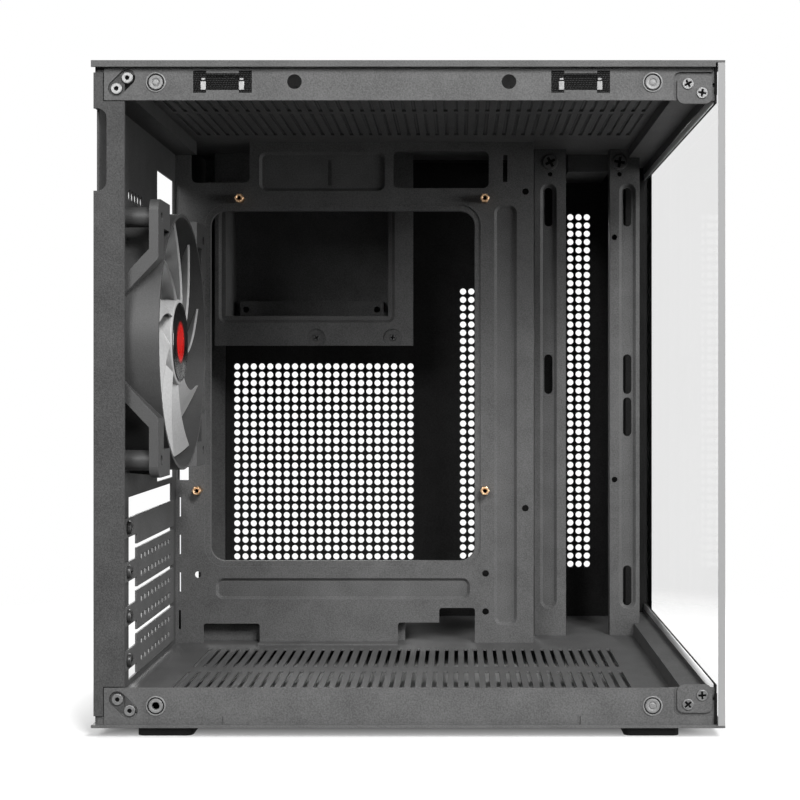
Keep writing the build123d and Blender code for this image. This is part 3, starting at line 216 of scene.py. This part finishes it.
def place_on_part(tree):
    """The X, Y and Z of a point of the part, in metres."""
    place = add(tree, "ShaderNodeTexCoord")
    split = add(tree, "ShaderNodeSeparateXYZ")
    tree.links.new(place.outputs["Object"], split.inputs["Vector"])
    return split.outputs


def object_noise(tree, scale, detail=2.0):
    """Noise that is fixed to the part, with its scale in features a metre."""
    place = add(tree, "ShaderNodeTexCoord")
    noise = add(tree, "ShaderNodeTexNoise", Scale=scale, Detail=detail)
    tree.links.new(place.outputs["Object"], noise.inputs["Vector"])
    return noise.outputs["Fac"]


def ramp(tree, source, low, high, start=0.35, end=0.65):
    """A blend between two colours over a range of a value."""
    node = add(tree, "ShaderNodeValToRGB")
    first, second = node.color_ramp.elements
    first.position, first.color = start, (*low, 1)
    second.position, second.color = end, (*high, 1)
    tree.links.new(source, node.inputs["Fac"])
    return node.outputs["Color"]


def bump(tree, height, depth, edge=0.0):
    """A bump of a depth in metres, over softened edges if a radius is given."""
    node = add(tree, "ShaderNodeBump", Distance=depth)
    tree.links.new(height, node.inputs["Height"])
    if edge:
        soft = add(tree, "ShaderNodeBevel", Radius=edge, samples=4)
        tree.links.new(soft.outputs["Normal"], node.inputs["Normal"])
    return node.outputs["Normal"]


def grey(value):
    """A neutral colour."""
    return (value, value, value)


def textured(name, low, high, roughness, grain, depth, specular, metallic):
    """A coated or moulded surface: two close colours, a fine grain and softened edges."""
    material = bpy.data.materials.new(name)
    tree, shader = node_tree(material)
    fine = object_noise(tree, grain, 3.0)
    broad = object_noise(tree, grain / 20)
    shares = [combine(tree, "MULTIPLY", noise, share) for noise, share in ((fine, 0.7), (broad, 0.3))]
    mixed = combine(tree, "ADD", *shares)
    tree.links.new(ramp(tree, mixed, low, high), shader.inputs["Base Color"])
    tree.links.new(bump(tree, fine, depth * MM, SOFT_EDGE), shader.inputs["Normal"])
    shader.inputs["Roughness"].default_value = roughness
    shader.inputs["Metallic"].default_value = metallic
    shader.inputs["Specular IOR Level"].default_value = specular
    return material


def hub_finish():
    """The glossy plain disc of the hub: black, with a red middle."""
    material = bpy.data.materials.new("hub_gloss")
    tree, shader = node_tree(material)
    low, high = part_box("fan_hub_disc")
    middle = (low + high) / 2
    _, y, z = place_on_part(tree)
    across = combine(tree, "SUBTRACT", y, middle.y)
    upward = combine(tree, "SUBTRACT", z, middle.z)
    radius = combine(tree, "SQRT", sum_of_squares(tree, across, upward), 0.0)
    radius = combine(tree, "MULTIPLY", radius, 1 / (2 * HUB_SPOT_RADIUS))
    colour = ramp(tree, radius, (0.5, 0.012, 0.01), grey(0.006), 0.44, 0.56)
    tree.links.new(colour, shader.inputs["Base Color"])
    marks = object_noise(tree, 120.0, 3.0)
    tree.links.new(ramp(tree, marks, grey(0.16), grey(0.26)), shader.inputs["Roughness"])
    return material


def clip_finish():
    """The clip inserts: black plastic with fine diagonal dots."""
    material = bpy.data.materials.new("clip_weave")
    tree, shader = node_tree(material)
    x, _, z = place_on_part(tree)
    waves = []
    for slant in (1.0, -0.6):
        line = combine(tree, "ADD", x, combine(tree, "MULTIPLY", z, slant))
        angle = combine(tree, "MULTIPLY", line, 2 * math.pi / DOT_PITCH)
        waves.append(combine(tree, "SINE", angle, 0.0))
    dots = combine(tree, "MULTIPLY", *waves)
    tree.links.new(ramp(tree, dots, grey(0.003), grey(0.12), 0.8, 1.0), shader.inputs["Base Color"])
    tree.links.new(bump(tree, dots, 0.05 * MM), shader.inputs["Normal"])
    shader.inputs["Roughness"].default_value = 0.8
    shader.inputs["Specular IOR Level"].default_value = 0.05
    return material


def clear_glass(pane_low, pane_high):
    """The pane: nearly clear, with pale ground edges at its two upright ends and a black border."""
    material = bpy.data.materials.new("pane_glass")
    tree, shader = node_tree(material)
    _, y, _ = place_on_part(tree)
    middle = (pane_low.y + pane_high.y) / 2
    from_middle = combine(tree, "ABSOLUTE", combine(tree, "SUBTRACT", y, middle), 0.0)
    half = (pane_high.y - pane_low.y) / 2
    ground = combine(tree, "GREATER_THAN", from_middle, half - 0.1 * MM)
    border = combine(tree, "GREATER_THAN", y, pane_high.y - PANE_BORDER)
    solid = combine(tree, "MAXIMUM", ground, border)
    tree.links.new(ramp(tree, ground, grey(0.003), grey(0.2), 0.4, 0.6), shader.inputs["Base Color"])
    tree.links.new(combine(tree, "MAXIMUM", solid, PANE_ALPHA), shader.inputs["Alpha"])
    marks = object_noise(tree, 30.0, 4.0)
    tree.links.new(ramp(tree, marks, grey(0.03), grey(0.08), 0.5, 0.9), shader.inputs["Roughness"])
    shader.inputs["Specular IOR Level"].default_value = 0.25
    return material


def filter_mesh():
    """The dust filter: a fine woven mesh that lets some light through."""
    material = bpy.data.materials.new("dust_mesh")
    tree, shader = node_tree(material)
    place = add(tree, "ShaderNodeTexCoord")
    waves = []
    for axis in ("X", "Y"):
        wave = add(tree, "ShaderNodeTexWave", Scale=160.0, bands_direction=axis)
        tree.links.new(place.outputs["Object"], wave.inputs["Vector"])
        waves.append(wave.outputs["Fac"])
    weave = combine(tree, "MAXIMUM", *waves)
    tree.links.new(ramp(tree, weave, grey(0.008), grey(0.05), 0.4, 0.9), shader.inputs["Base Color"])
    tree.links.new(bump(tree, weave, 0.2 * MM), shader.inputs["Normal"])
    tree.links.new(ramp(tree, weave, grey(0.75), grey(1.0), 0.4, 0.6), shader.inputs["Alpha"])
    shader.inputs["Roughness"].default_value = 0.7
    return material


def make_materials():
    """One material for each slot of the record, and for each finish that only this script has."""
    made = {}
    for finish, (name, low, high, *rest) in COATS.items():
        made[finish] = textured(name, grey(low), grey(high), *rest)
    made["brass"] = textured("standoff_brass", *BRASS, 0.3, 900, 0.02, 0.5, 1.0)
    made["clip_weave"] = clip_finish()
    made["hub_disc"] = hub_finish()
    made["clear_glass"] = clear_glass(*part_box("front_glass"))
    made["filter_mesh"] = filter_mesh()
    return made


def dress_nodes():
    """Gives every CAD node the material of its slot, or the finish of its own."""
    for part in frame["record"]["subparts"]:
        finish = OWN_FINISHES.get(part["node"], part["material_slot"])
        target = nodes[part["node"]]
        target.data.materials.clear()
        target.data.materials.append(materials[finish])


def finish_piece(piece, node, body="chassis"):
    """Puts a piece in the place of a CAD node, on its body and with its finish."""
    slot = next(part["material_slot"] for part in frame["record"]["subparts"] if part["node"] == node)
    piece.data.materials.clear()
    piece.data.materials.append(materials[OWN_FINISHES.get(node, slot)])
    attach(piece, body)
    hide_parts(node)


def extra_piece(piece, finish, body="chassis"):
    """Puts a piece on a body with a finish, beside the CAD nodes."""
    piece.data.materials.clear()
    piece.data.materials.append(materials[finish])
    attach(piece, body)


def link_object(name, data):
    """A new object in the scene."""
    made = bpy.data.objects.new(name, data)
    bpy.context.collection.objects.link(made)
    return made


def make_camera():
    """The camera, square on to the open side, shifted as the photograph is framed."""
    data = bpy.data.cameras.new("camera")
    camera = link_object("camera", data)
    camera.location = CAMERA_PLACE
    camera.rotation_euler = (math.pi / 2, 0, 0)
    data.sensor_width = SENSOR
    data.lens = FOCAL_PIXELS / PICTURE_SIZE * SENSOR
    half = PICTURE_SIZE / 2
    data.shift_x = (half - AXIS_PIXEL[0]) / PICTURE_SIZE
    data.shift_y = (AXIS_PIXEL[1] - half) / PICTURE_SIZE
    data.clip_start = 0.01
    bpy.context.scene.camera = camera


def area_light(name, place, size, power):
    """A square soft light aimed at the middle of the case."""
    data = bpy.data.lights.new(name, "AREA")
    data.shape = "SQUARE"
    data.size = size
    data.energy = power
    light = link_object(name, data)
    light.location = place
    aim = LAMP_TARGET - Vector(place)
    light.rotation_euler = aim.to_track_quat("-Z", "Y").to_euler()


def studio_ray(tree):
    """One for the rays that show the white studio: the camera's, the glossy and the transmitted."""
    path = add(tree, "ShaderNodeLightPath")
    seen = path.outputs["Is Camera Ray"]
    for name in ("Is Glossy Ray", "Is Transmission Ray"):
        seen = combine(tree, "MAXIMUM", seen, path.outputs[name])
    return seen


def light_scene():
    """A white studio: a world that shows white, and four square soft lamps."""
    world = bpy.data.worlds.new("studio")
    bpy.context.scene.world = world
    world.use_nodes = True
    tree = world.node_tree
    background = tree.nodes["Background"]
    level = add(tree, "ShaderNodeMapRange")
    level.inputs["To Min"].default_value = WORLD_FILL
    level.inputs["To Max"].default_value = 1.0
    tree.links.new(studio_ray(tree), level.inputs["Value"])
    background.inputs["Color"].default_value = (1, 1, 1, 1)
    tree.links.new(level.outputs["Result"], background.inputs["Strength"])
    for name, (place, size, power) in LAMPS.items():
        area_light(name, place, size, power)


def make_floor():
    """A white floor that keeps the case's shadow and fades into the background; its glow is taken away
    under the case, which paints a shadow there.
    """
    mesh = bpy.data.meshes.new("floor")
    corners = [(u * FLOOR_REACH, v * FLOOR_REACH, 0) for u, v in ((-1, -1), (1, -1), (1, 1), (-1, 1))]
    mesh.from_pydata(corners, [], [(0, 1, 2, 3)])
    floor = link_object("floor", mesh)
    material = bpy.data.materials.new("floor_white")
    tree, shader = node_tree(material)
    shader.inputs["Roughness"].default_value = 0.9
    shader.inputs["Specular IOR Level"].default_value = 0.0
    shader.inputs["Emission Color"].default_value = (1, 1, 1, 1)
    tint = object_noise(tree, 2.0)
    tree.links.new(ramp(tree, tint, grey(0.4), grey(0.43)), shader.inputs["Base Color"])
    x, y, _ = place_on_part(tree)
    fade = ramp(tree, sum_of_squares(tree, x, y), grey(1.0), grey(0.0), *FLOOR_FADE)
    tree.links.new(fade, shader.inputs["Alpha"])
    # No glow over the case's footprint: a painted shadow under the case
    widest = combine(tree, "MAXIMUM", *(combine(tree, "ABSOLUTE", value, 0.0) for value in (x, y)))
    glow = ramp(tree, widest, grey(0.0), grey(FLOOR_GLOW), *GLOW_START)
    tree.links.new(combine(tree, "MULTIPLY", glow, studio_ray(tree)), shader.inputs["Emission Strength"])
    mesh.materials.append(material)


def ring_points(x, z, radius, sides):
    """Points round a circle."""
    turn = 2 * math.pi / sides
    return [(x + radius * math.cos(i * turn), z + radius * math.sin(i * turn)) for i in range(sides)]


def cross_points(radius):
    """The outline of a cross recess."""
    arm = radius * 0.27
    corner = [(radius, -arm), (radius, arm), (arm, arm)]
    points = []
    for turn in range(4):
        quarter = Matrix.Rotation(turn * math.pi / 2, 2)
        points += [tuple(quarter @ Vector(point)) for point in corner]
    return points


def pierced_mesh(name, outline, holes, low, high):
    """A flat plate between two heights, with holes through it."""
    curve = bpy.data.curves.new(name, "CURVE")
    curve.dimensions = "2D"
    curve.fill_mode = "BOTH"
    curve.extrude = (high - low) / 2
    for points in [outline] + holes:
        spline = curve.splines.new("POLY")
        spline.points.add(len(points) - 1)
        for point, (u, v) in zip(spline.points, points):
            point.co = (u, v, 0, 1)
        spline.use_cyclic_u = True
    source = link_object(name + "_outline", curve)
    bpy.context.view_layer.update()
    mesh = bpy.data.meshes.new_from_object(source.evaluated_get(bpy.context.evaluated_depsgraph_get()))
    bpy.data.objects.remove(source)
    bpy.data.curves.remove(curve)
    mesh.transform(Matrix.Translation((0, 0, (low + high) / 2)))
    return mesh


def lathe_mesh(name, profile, sides):
    """A profile of radii and heights turned about Z."""
    shape = bmesh.new()
    rings = []
    for radius, height in profile:
        if radius:
            rings.append([shape.verts.new((u, v, height)) for u, v in ring_points(0, 0, radius, sides)])
        else:
            rings.append([shape.verts.new((0, 0, height))] * sides)
    for lower, upper in zip(rings, rings[1:]):
        for i in range(sides):
            j = (i + 1) % sides
            corners = [lower[i], lower[j], upper[j], upper[i]]
            shape.faces.new(dict.fromkeys(corners))
    bmesh.ops.recalc_face_normals(shape, faces=shape.faces)
    mesh = bpy.data.meshes.new(name)
    shape.to_mesh(mesh)
    shape.free()
    return mesh


def joined(name, placed):
    """One object made of meshes, each with its own place."""
    shape = bmesh.new()
    for mesh, place in placed:
        copy = mesh.copy()
        copy.transform(place)
        shape.from_mesh(copy)
        bpy.data.meshes.remove(copy)
    bmesh.ops.remove_doubles(shape, verts=shape.verts, dist=1e-6)
    whole = bpy.data.meshes.new(name)
    shape.to_mesh(whole)
    shape.free()
    return link_object(name, whole)


def solid_boxes(node):
    """The bounds of each separate solid of a CAD node, in metres."""
    shape = bmesh.new()
    shape.from_mesh(nodes[node].data)
    bmesh.ops.remove_doubles(shape, verts=shape.verts, dist=1e-6)
    seen, boxes = set(), []
    for start in shape.verts:
        if start in seen:
            continue
        seen.add(start)
        group, waiting = [], [start]
        while waiting:
            vertex = waiting.pop()
            group.append(vertex.co.copy())
            for edge in vertex.link_edges:
                other = edge.other_vert(vertex)
                if other not in seen:
                    seen.add(other)
                    waiting.append(other)
        boxes.append((Vector(map(min, zip(*group))), Vector(map(max, zip(*group)))))
    shape.free()
    return boxes


def screw_meshes(name, radius, head, length, recess):
    """A screw along Z whose head stands on z = 0: its body, its pierced cap and the floor of the recess."""
    crown = radius * 0.8
    depth = min(head * 0.7, 0.6 * MM)
    shank = radius * 0.45
    profile = [(0, head - depth), (crown, head - depth), (crown, head), (radius * 0.92, head * 0.85),
               (radius, head * 0.4), (radius, 0), (shank, 0), (shank, -length), (0, -length)]
    body = lathe_mesh(name + "_body", profile, SCREW_SIDES)
    hole = cross_points(crown * 0.85) if recess == "cross" else ring_points(0, 0, crown * 0.52, 6)
    top = ring_points(0, 0, crown, SCREW_SIDES)
    cap = pierced_mesh(name + "_cap", top, [hole], head - depth, head)
    base = pierced_mesh(name + "_recess", hole, [], head - depth, head - depth * 0.75)
    return [body, cap], [base]


def make_screws():
    """Every screw with its turned head and recess, in the place of the plain one."""
    for node, (head, facing, recess) in SCREWS.items():
        placed, recesses = [], []
        turn = FACINGS[facing]
        outwards = (turn @ Vector((0, 0, 1))).normalized()
        for index, (low, high) in enumerate(solid_boxes(node)):
            centre = (low + high) / 2
            size = high - low
            across = size.z
            length = abs(size.dot(outwards)) - head * MM
            tip = centre + outwards * (abs(size.dot(outwards)) / 2 - head * MM)
            spin = Matrix.Rotation(0.5 + index * 0.9, 4, "Z")
            place = Matrix.Translation(tip) @ turn @ spin
            solid, dark = screw_meshes(f"{node}_{index}", across / 2, head * MM, length, recess)
            placed += [(mesh, place) for mesh in solid]
            recesses += [(mesh, place) for mesh in dark]
        body = "right_panel" if node == "panel_thumbscrews" else "chassis"
        finish_piece(joined(node + "_detail", placed), node, body)
        # The floors of the recesses get the near-black finish: painted shade
        extra_piece(joined(node + "_recesses", recesses), "recess_painted_shade", body)


def make_catches():
    """The ringed bushes that the studs of the side panel snap into: one is open, the others are domed."""
    placed, grooves = [], []
    for low, high in solid_boxes("ball_catches"):
        radius = (high.x - low.x) / 2
        front = CATCH_FRONT
        back = front - (high.y - low.y)
        centre = (low + high) / 2
        if centre.x < 0 and centre.z < CASE_MIDDLE:
            middle = [(0, back), (0.34 * radius, back), (0.38 * radius, 0.5 * front)]
        else:
            middle = [(u * radius, v * front) for u, v in CATCH_DOME]
        rim = [(u * radius, v * front) for u, v in CATCH_RIM]
        profile = middle + rim + [(0.69 * radius, back), (0, back)]
        place = Matrix.Translation((centre.x, low.y + front, centre.z)) @ FACINGS["front"]
        placed.append((lathe_mesh("catch", profile, SCREW_SIDES), place))
        floor = 0.2 * front
        for inner, outer in ((u * radius, v * radius) for u, v in CATCH_GROOVES):
            groove = [(inner, 0), (outer, 0), (outer, floor), (inner, floor), (inner, 0)]
            grooves.append((lathe_mesh("groove", groove, SCREW_SIDES), place))
    finish_piece(joined("catch_detail", placed), "ball_catches")
    # The groove floors get the near-black finish: painted shade
    extra_piece(joined("catch_grooves", grooves), "recess_painted_shade")


def make_standoffs():
    """The brass standoffs: a hexagon over the whole depth of the CAD solid, a collar, and a plug in the
    bore whose near-black finish is painted shade.
    """
    placed, bores = [], []
    for low, high in solid_boxes("standoffs"):
        radius = (high.z - low.z) / 2
        length = high.y - low.y
        bore = 0.45 * radius
        lip = 0.12 * radius
        collar = [(bore, length - lip), (bore + lip, length), (0.82 * radius, length),
                  (0.86 * radius, length - lip), (bore, length - lip)]
        flats = ring_points(0, 0, radius, 6)
        middle = (low + high) / 2
        place = Matrix.Translation((middle.x, high.y, middle.z)) @ FACINGS["front"]
        hexagon = pierced_mesh("hexagon", flats, [ring_points(0, 0, bore, 16)], 0, length - lip)
        placed.append((hexagon, place))
        placed.append((lathe_mesh("collar", collar, SCREW_SIDES), place))
        plug = [(0, 0), (bore, 0), (bore, length / 2), (0, length / 2)]
        bores.append((lathe_mesh("bore", plug, 16), place))
    finish_piece(joined("standoff_detail", placed), "standoffs")
    # The plugs in the bores get the near-black finish: painted shade
    extra_piece(joined("standoff_bores", bores), "recess_painted_shade")


def run_along(name, x, z, y):
    """A strip with chamfered corners that runs along Y, with its range in X, Z and Y."""
    cut = STRIP_CHAMFER
    outline = [(x[0] + cut, z[0]), (x[1] - cut, z[0]), (x[1], z[0] + cut), (x[1], z[1] - cut),
               (x[1] - cut, z[1]), (x[0] + cut, z[1]), (x[0], z[1] - cut), (x[0], z[0] + cut)]
    return pierced_mesh(name, outline, [], -y[1], -y[0]), FACINGS["front"]


def make_edge_strips():
    """The pale strips on the beams' lips as painted highlight, a dark seal beside each, and a dark strip
    under the roof as painted shade.
    """
    lip_highlights, seals_and_roof_shade = [], []
    for node, upper in (("front_top_beam", True), ("front_bottom_beam", False)):
        low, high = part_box(node)
        start, end = low.y + SHEET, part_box("front_pillar")[0].y
        lip = [point.co.z for point in nodes[node].data.vertices
               if point.co.y > 0 and point.co.x > high.x - 1.05 * SHEET]
        z = (min(lip) - STRIP_HEIGHT, min(lip)) if upper else (max(lip), max(lip) + STRIP_HEIGHT)
        # A pale strip on the lip: painted highlight
        lip_highlights.append(run_along("strip", (high.x - LIP_HIGHLIGHT_WIDTH, high.x), z, (start + 2 * SHEET, end)))
        seals_and_roof_shade.append(run_along("seal", (high.x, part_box("front_glass")[0].x), z, (start, end)))
    # A dark strip under the roof's edge: painted shade
    low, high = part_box("top_panel")
    roof = high.z - SHEET
    x0, x1 = low.x + ROOF_SHADE_INSET[0], high.x - ROOF_SHADE_INSET[1]
    y1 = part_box("right_panel")[0].y - ROOF_SHADE_GAP
    y0 = y1 - SHEET
    outline = [(x0, y0), (x1, y0), (x1, y1), (x0, y1)]
    seals_and_roof_shade.append((pierced_mesh("seal", outline, [], roof - ROOF_SHADE_HEIGHT, roof), Matrix()))
    extra_piece(joined("painted_lip_highlights", lip_highlights), "painted_lip_highlight")
    # The dark seals beside the lips and the painted-shade strip under the roof, as one object
    extra_piece(joined("dark_seals_and_roof_shade", seals_and_roof_shade), "foot_rubber")


def blade_point(centre, turn, share, behind, under):
    """A point of a blade: its share of the way from hub to tip, of the chord, and of the wall."""
    radius = HUB_RADIUS - BLADE_WALL / 2 + share * (BLADE_TIP - HUB_RADIUS + BLADE_WALL / 2)
    lag = behind * BLADE_REACH
    angle = turn - BLADE_SWEEP * (1 - share) ** 1.15 - lag
    pitch = BLADE_PITCH[0] + share * (BLADE_PITCH[1] - BLADE_PITCH[0])
    depth = BLADE_DEPTH[0] + share * (BLADE_DEPTH[1] - BLADE_DEPTH[0]) + radius * lag * math.tan(pitch)
    wall = BLADE_WALL * (0.35 + 0.65 * math.sin(math.pi * (0.15 + 0.75 * behind)))
    return centre + Vector((-depth - under * wall, radius * math.cos(angle), radius * math.sin(angle)))


def blade_mesh(centre, turn):
    """One swept and pitched blade as a closed shell."""
    shape = bmesh.new()
    layers = []
    for under in (0, 1):
        layers.append([[shape.verts.new(blade_point(centre, turn, row / BLADE_ROWS,
                                                    column / BLADE_COLUMNS, under))
                        for column in range(BLADE_COLUMNS + 1)] for row in range(BLADE_ROWS + 1)])
    for layer in layers:
        for row in range(BLADE_ROWS):
            for column in range(BLADE_COLUMNS):
                shape.faces.new((layer[row][column], layer[row][column + 1],
                                 layer[row + 1][column + 1], layer[row + 1][column]))
    upper, lower = layers
    rims = [(upper[0], lower[0]), (upper[-1], lower[-1]),
            ([row[0] for row in upper], [row[0] for row in lower]),
            ([row[-1] for row in upper], [row[-1] for row in lower])]
    for first, second in rims:
        for i in range(len(first) - 1):
            shape.faces.new((first[i], first[i + 1], second[i + 1], second[i]))
    bmesh.ops.recalc_face_normals(shape, faces=shape.faces)
    mesh = bpy.data.meshes.new("blade")
    shape.to_mesh(mesh)
    shape.free()
    return mesh


def make_impeller():
    """The fan's impeller: a cup with a rounded front edge, and nine swept blades."""
    low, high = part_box("fan_rotor")
    centre = (low + high) / 2
    centre.x = high.x
    length = high.x - low.x
    edge = [(HUB_RADIUS - HUB_ROUND * (1 - math.sin(step * math.pi / 8)),
             -HUB_ROUND * (1 - math.cos(step * math.pi / 8))) for step in range(5)]
    profile = [(0, 0)] + edge + [(HUB_RADIUS, -length), (HUB_RADIUS - 2 * MM, -length),
                                 (HUB_RADIUS - 2 * MM, -2 * MM), (0, -2 * MM)]
    cup = lathe_mesh("cup", profile, 2 * SCREW_SIDES)
    placed = [(cup, Matrix.Translation(centre) @ FACINGS["inside"])]
    for blade in range(BLADES):
        turn = BLADE_PHASE + blade * 2 * math.pi / BLADES
        placed.append((blade_mesh(centre, turn), Matrix()))
    rotor = joined("impeller", placed)
    rotor.data.shade_smooth()
    rotor.data.set_sharp_from_angle(angle=math.radians(35))
    finish_piece(rotor, "fan_rotor", "fan_rotor")
    low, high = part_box("fan_hub_disc")
    thick = high.x - low.x
    rim = HUB_DISC_RADIUS
    profile = [(0, 0), (rim, 0), (rim, 0.6 * thick), (rim - 0.2 * MM, thick), (rim - 0.8 * MM, thick),
               (rim - 1.0 * MM, 0.8 * thick), (0, 0.8 * thick)]
    disc = lathe_mesh("hub_face", profile, 2 * SCREW_SIDES)
    place = Matrix.Translation((low.x, centre.y, centre.z)) @ FACINGS["inside"]
    finish_piece(joined("hub_face", [(disc, place)]), "fan_hub_disc", "fan_rotor")


def make_contacts():
    """The folded metal contacts of the clips: a narrow tongue over a wider foot."""
    placed = []
    for low, high in solid_boxes("clip_contacts"):
        middle = (low.x + high.x) / 2
        half = (high.x - low.x) / 2
        height = high.z - low.z
        for reach, bottom, top, front in ((1.0, 0.0, 0.52, 1.0), (0.72, 0.6, 0.72, 0.5)):
            x0, x1 = middle - reach * half, middle + reach * half
            z0, z1 = low.z + bottom * height, low.z + top * height
            outline = [(x0, z0), (x1, z0), (x1, z1), (x0, z1)]
            plate = pierced_mesh("contact", outline, [], -high.y, -high.y + front * (high.y - low.y))
            placed.append((plate, FACINGS["front"]))
    finish_piece(joined("folded_contacts", placed), "clip_contacts")


def make_right_panel():
    """The perforated right side with its true round holes."""
    low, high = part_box("right_panel")
    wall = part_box("rear_panel")[0].x + WALL_OUTSIDE
    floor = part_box("base_pan")[0].z + FLOOR_RISE
    outline = [(low.x, low.z), (high.x, low.z), (high.x, high.z), (low.x, high.z)]
    holes = []
    for first_x, columns, first_z, rows in HOLE_GRIDS:
        for column in range(columns):
            for row in range(rows):
                x = wall + first_x * MM + column * HOLE_PITCH
                z = floor + first_z * MM + HOLE_RADIUS + row * HOLE_PITCH
                holes.append(ring_points(x, z, HOLE_RADIUS, HOLE_SIDES))
    mesh = pierced_mesh("perforated_side", outline, holes, -high.y, -low.y)
    finish_piece(joined("perforated_side", [(mesh, FACINGS["front"])]), "right_panel", "right_panel")


materials = make_materials()
dress_nodes()
make_camera()
light_scene()
make_floor()
make_screws()
make_catches()
make_standoffs()
make_edge_strips()
make_impeller()
make_contacts()
make_right_panel()
bpy.context.scene.view_settings.view_transform = "Standard"
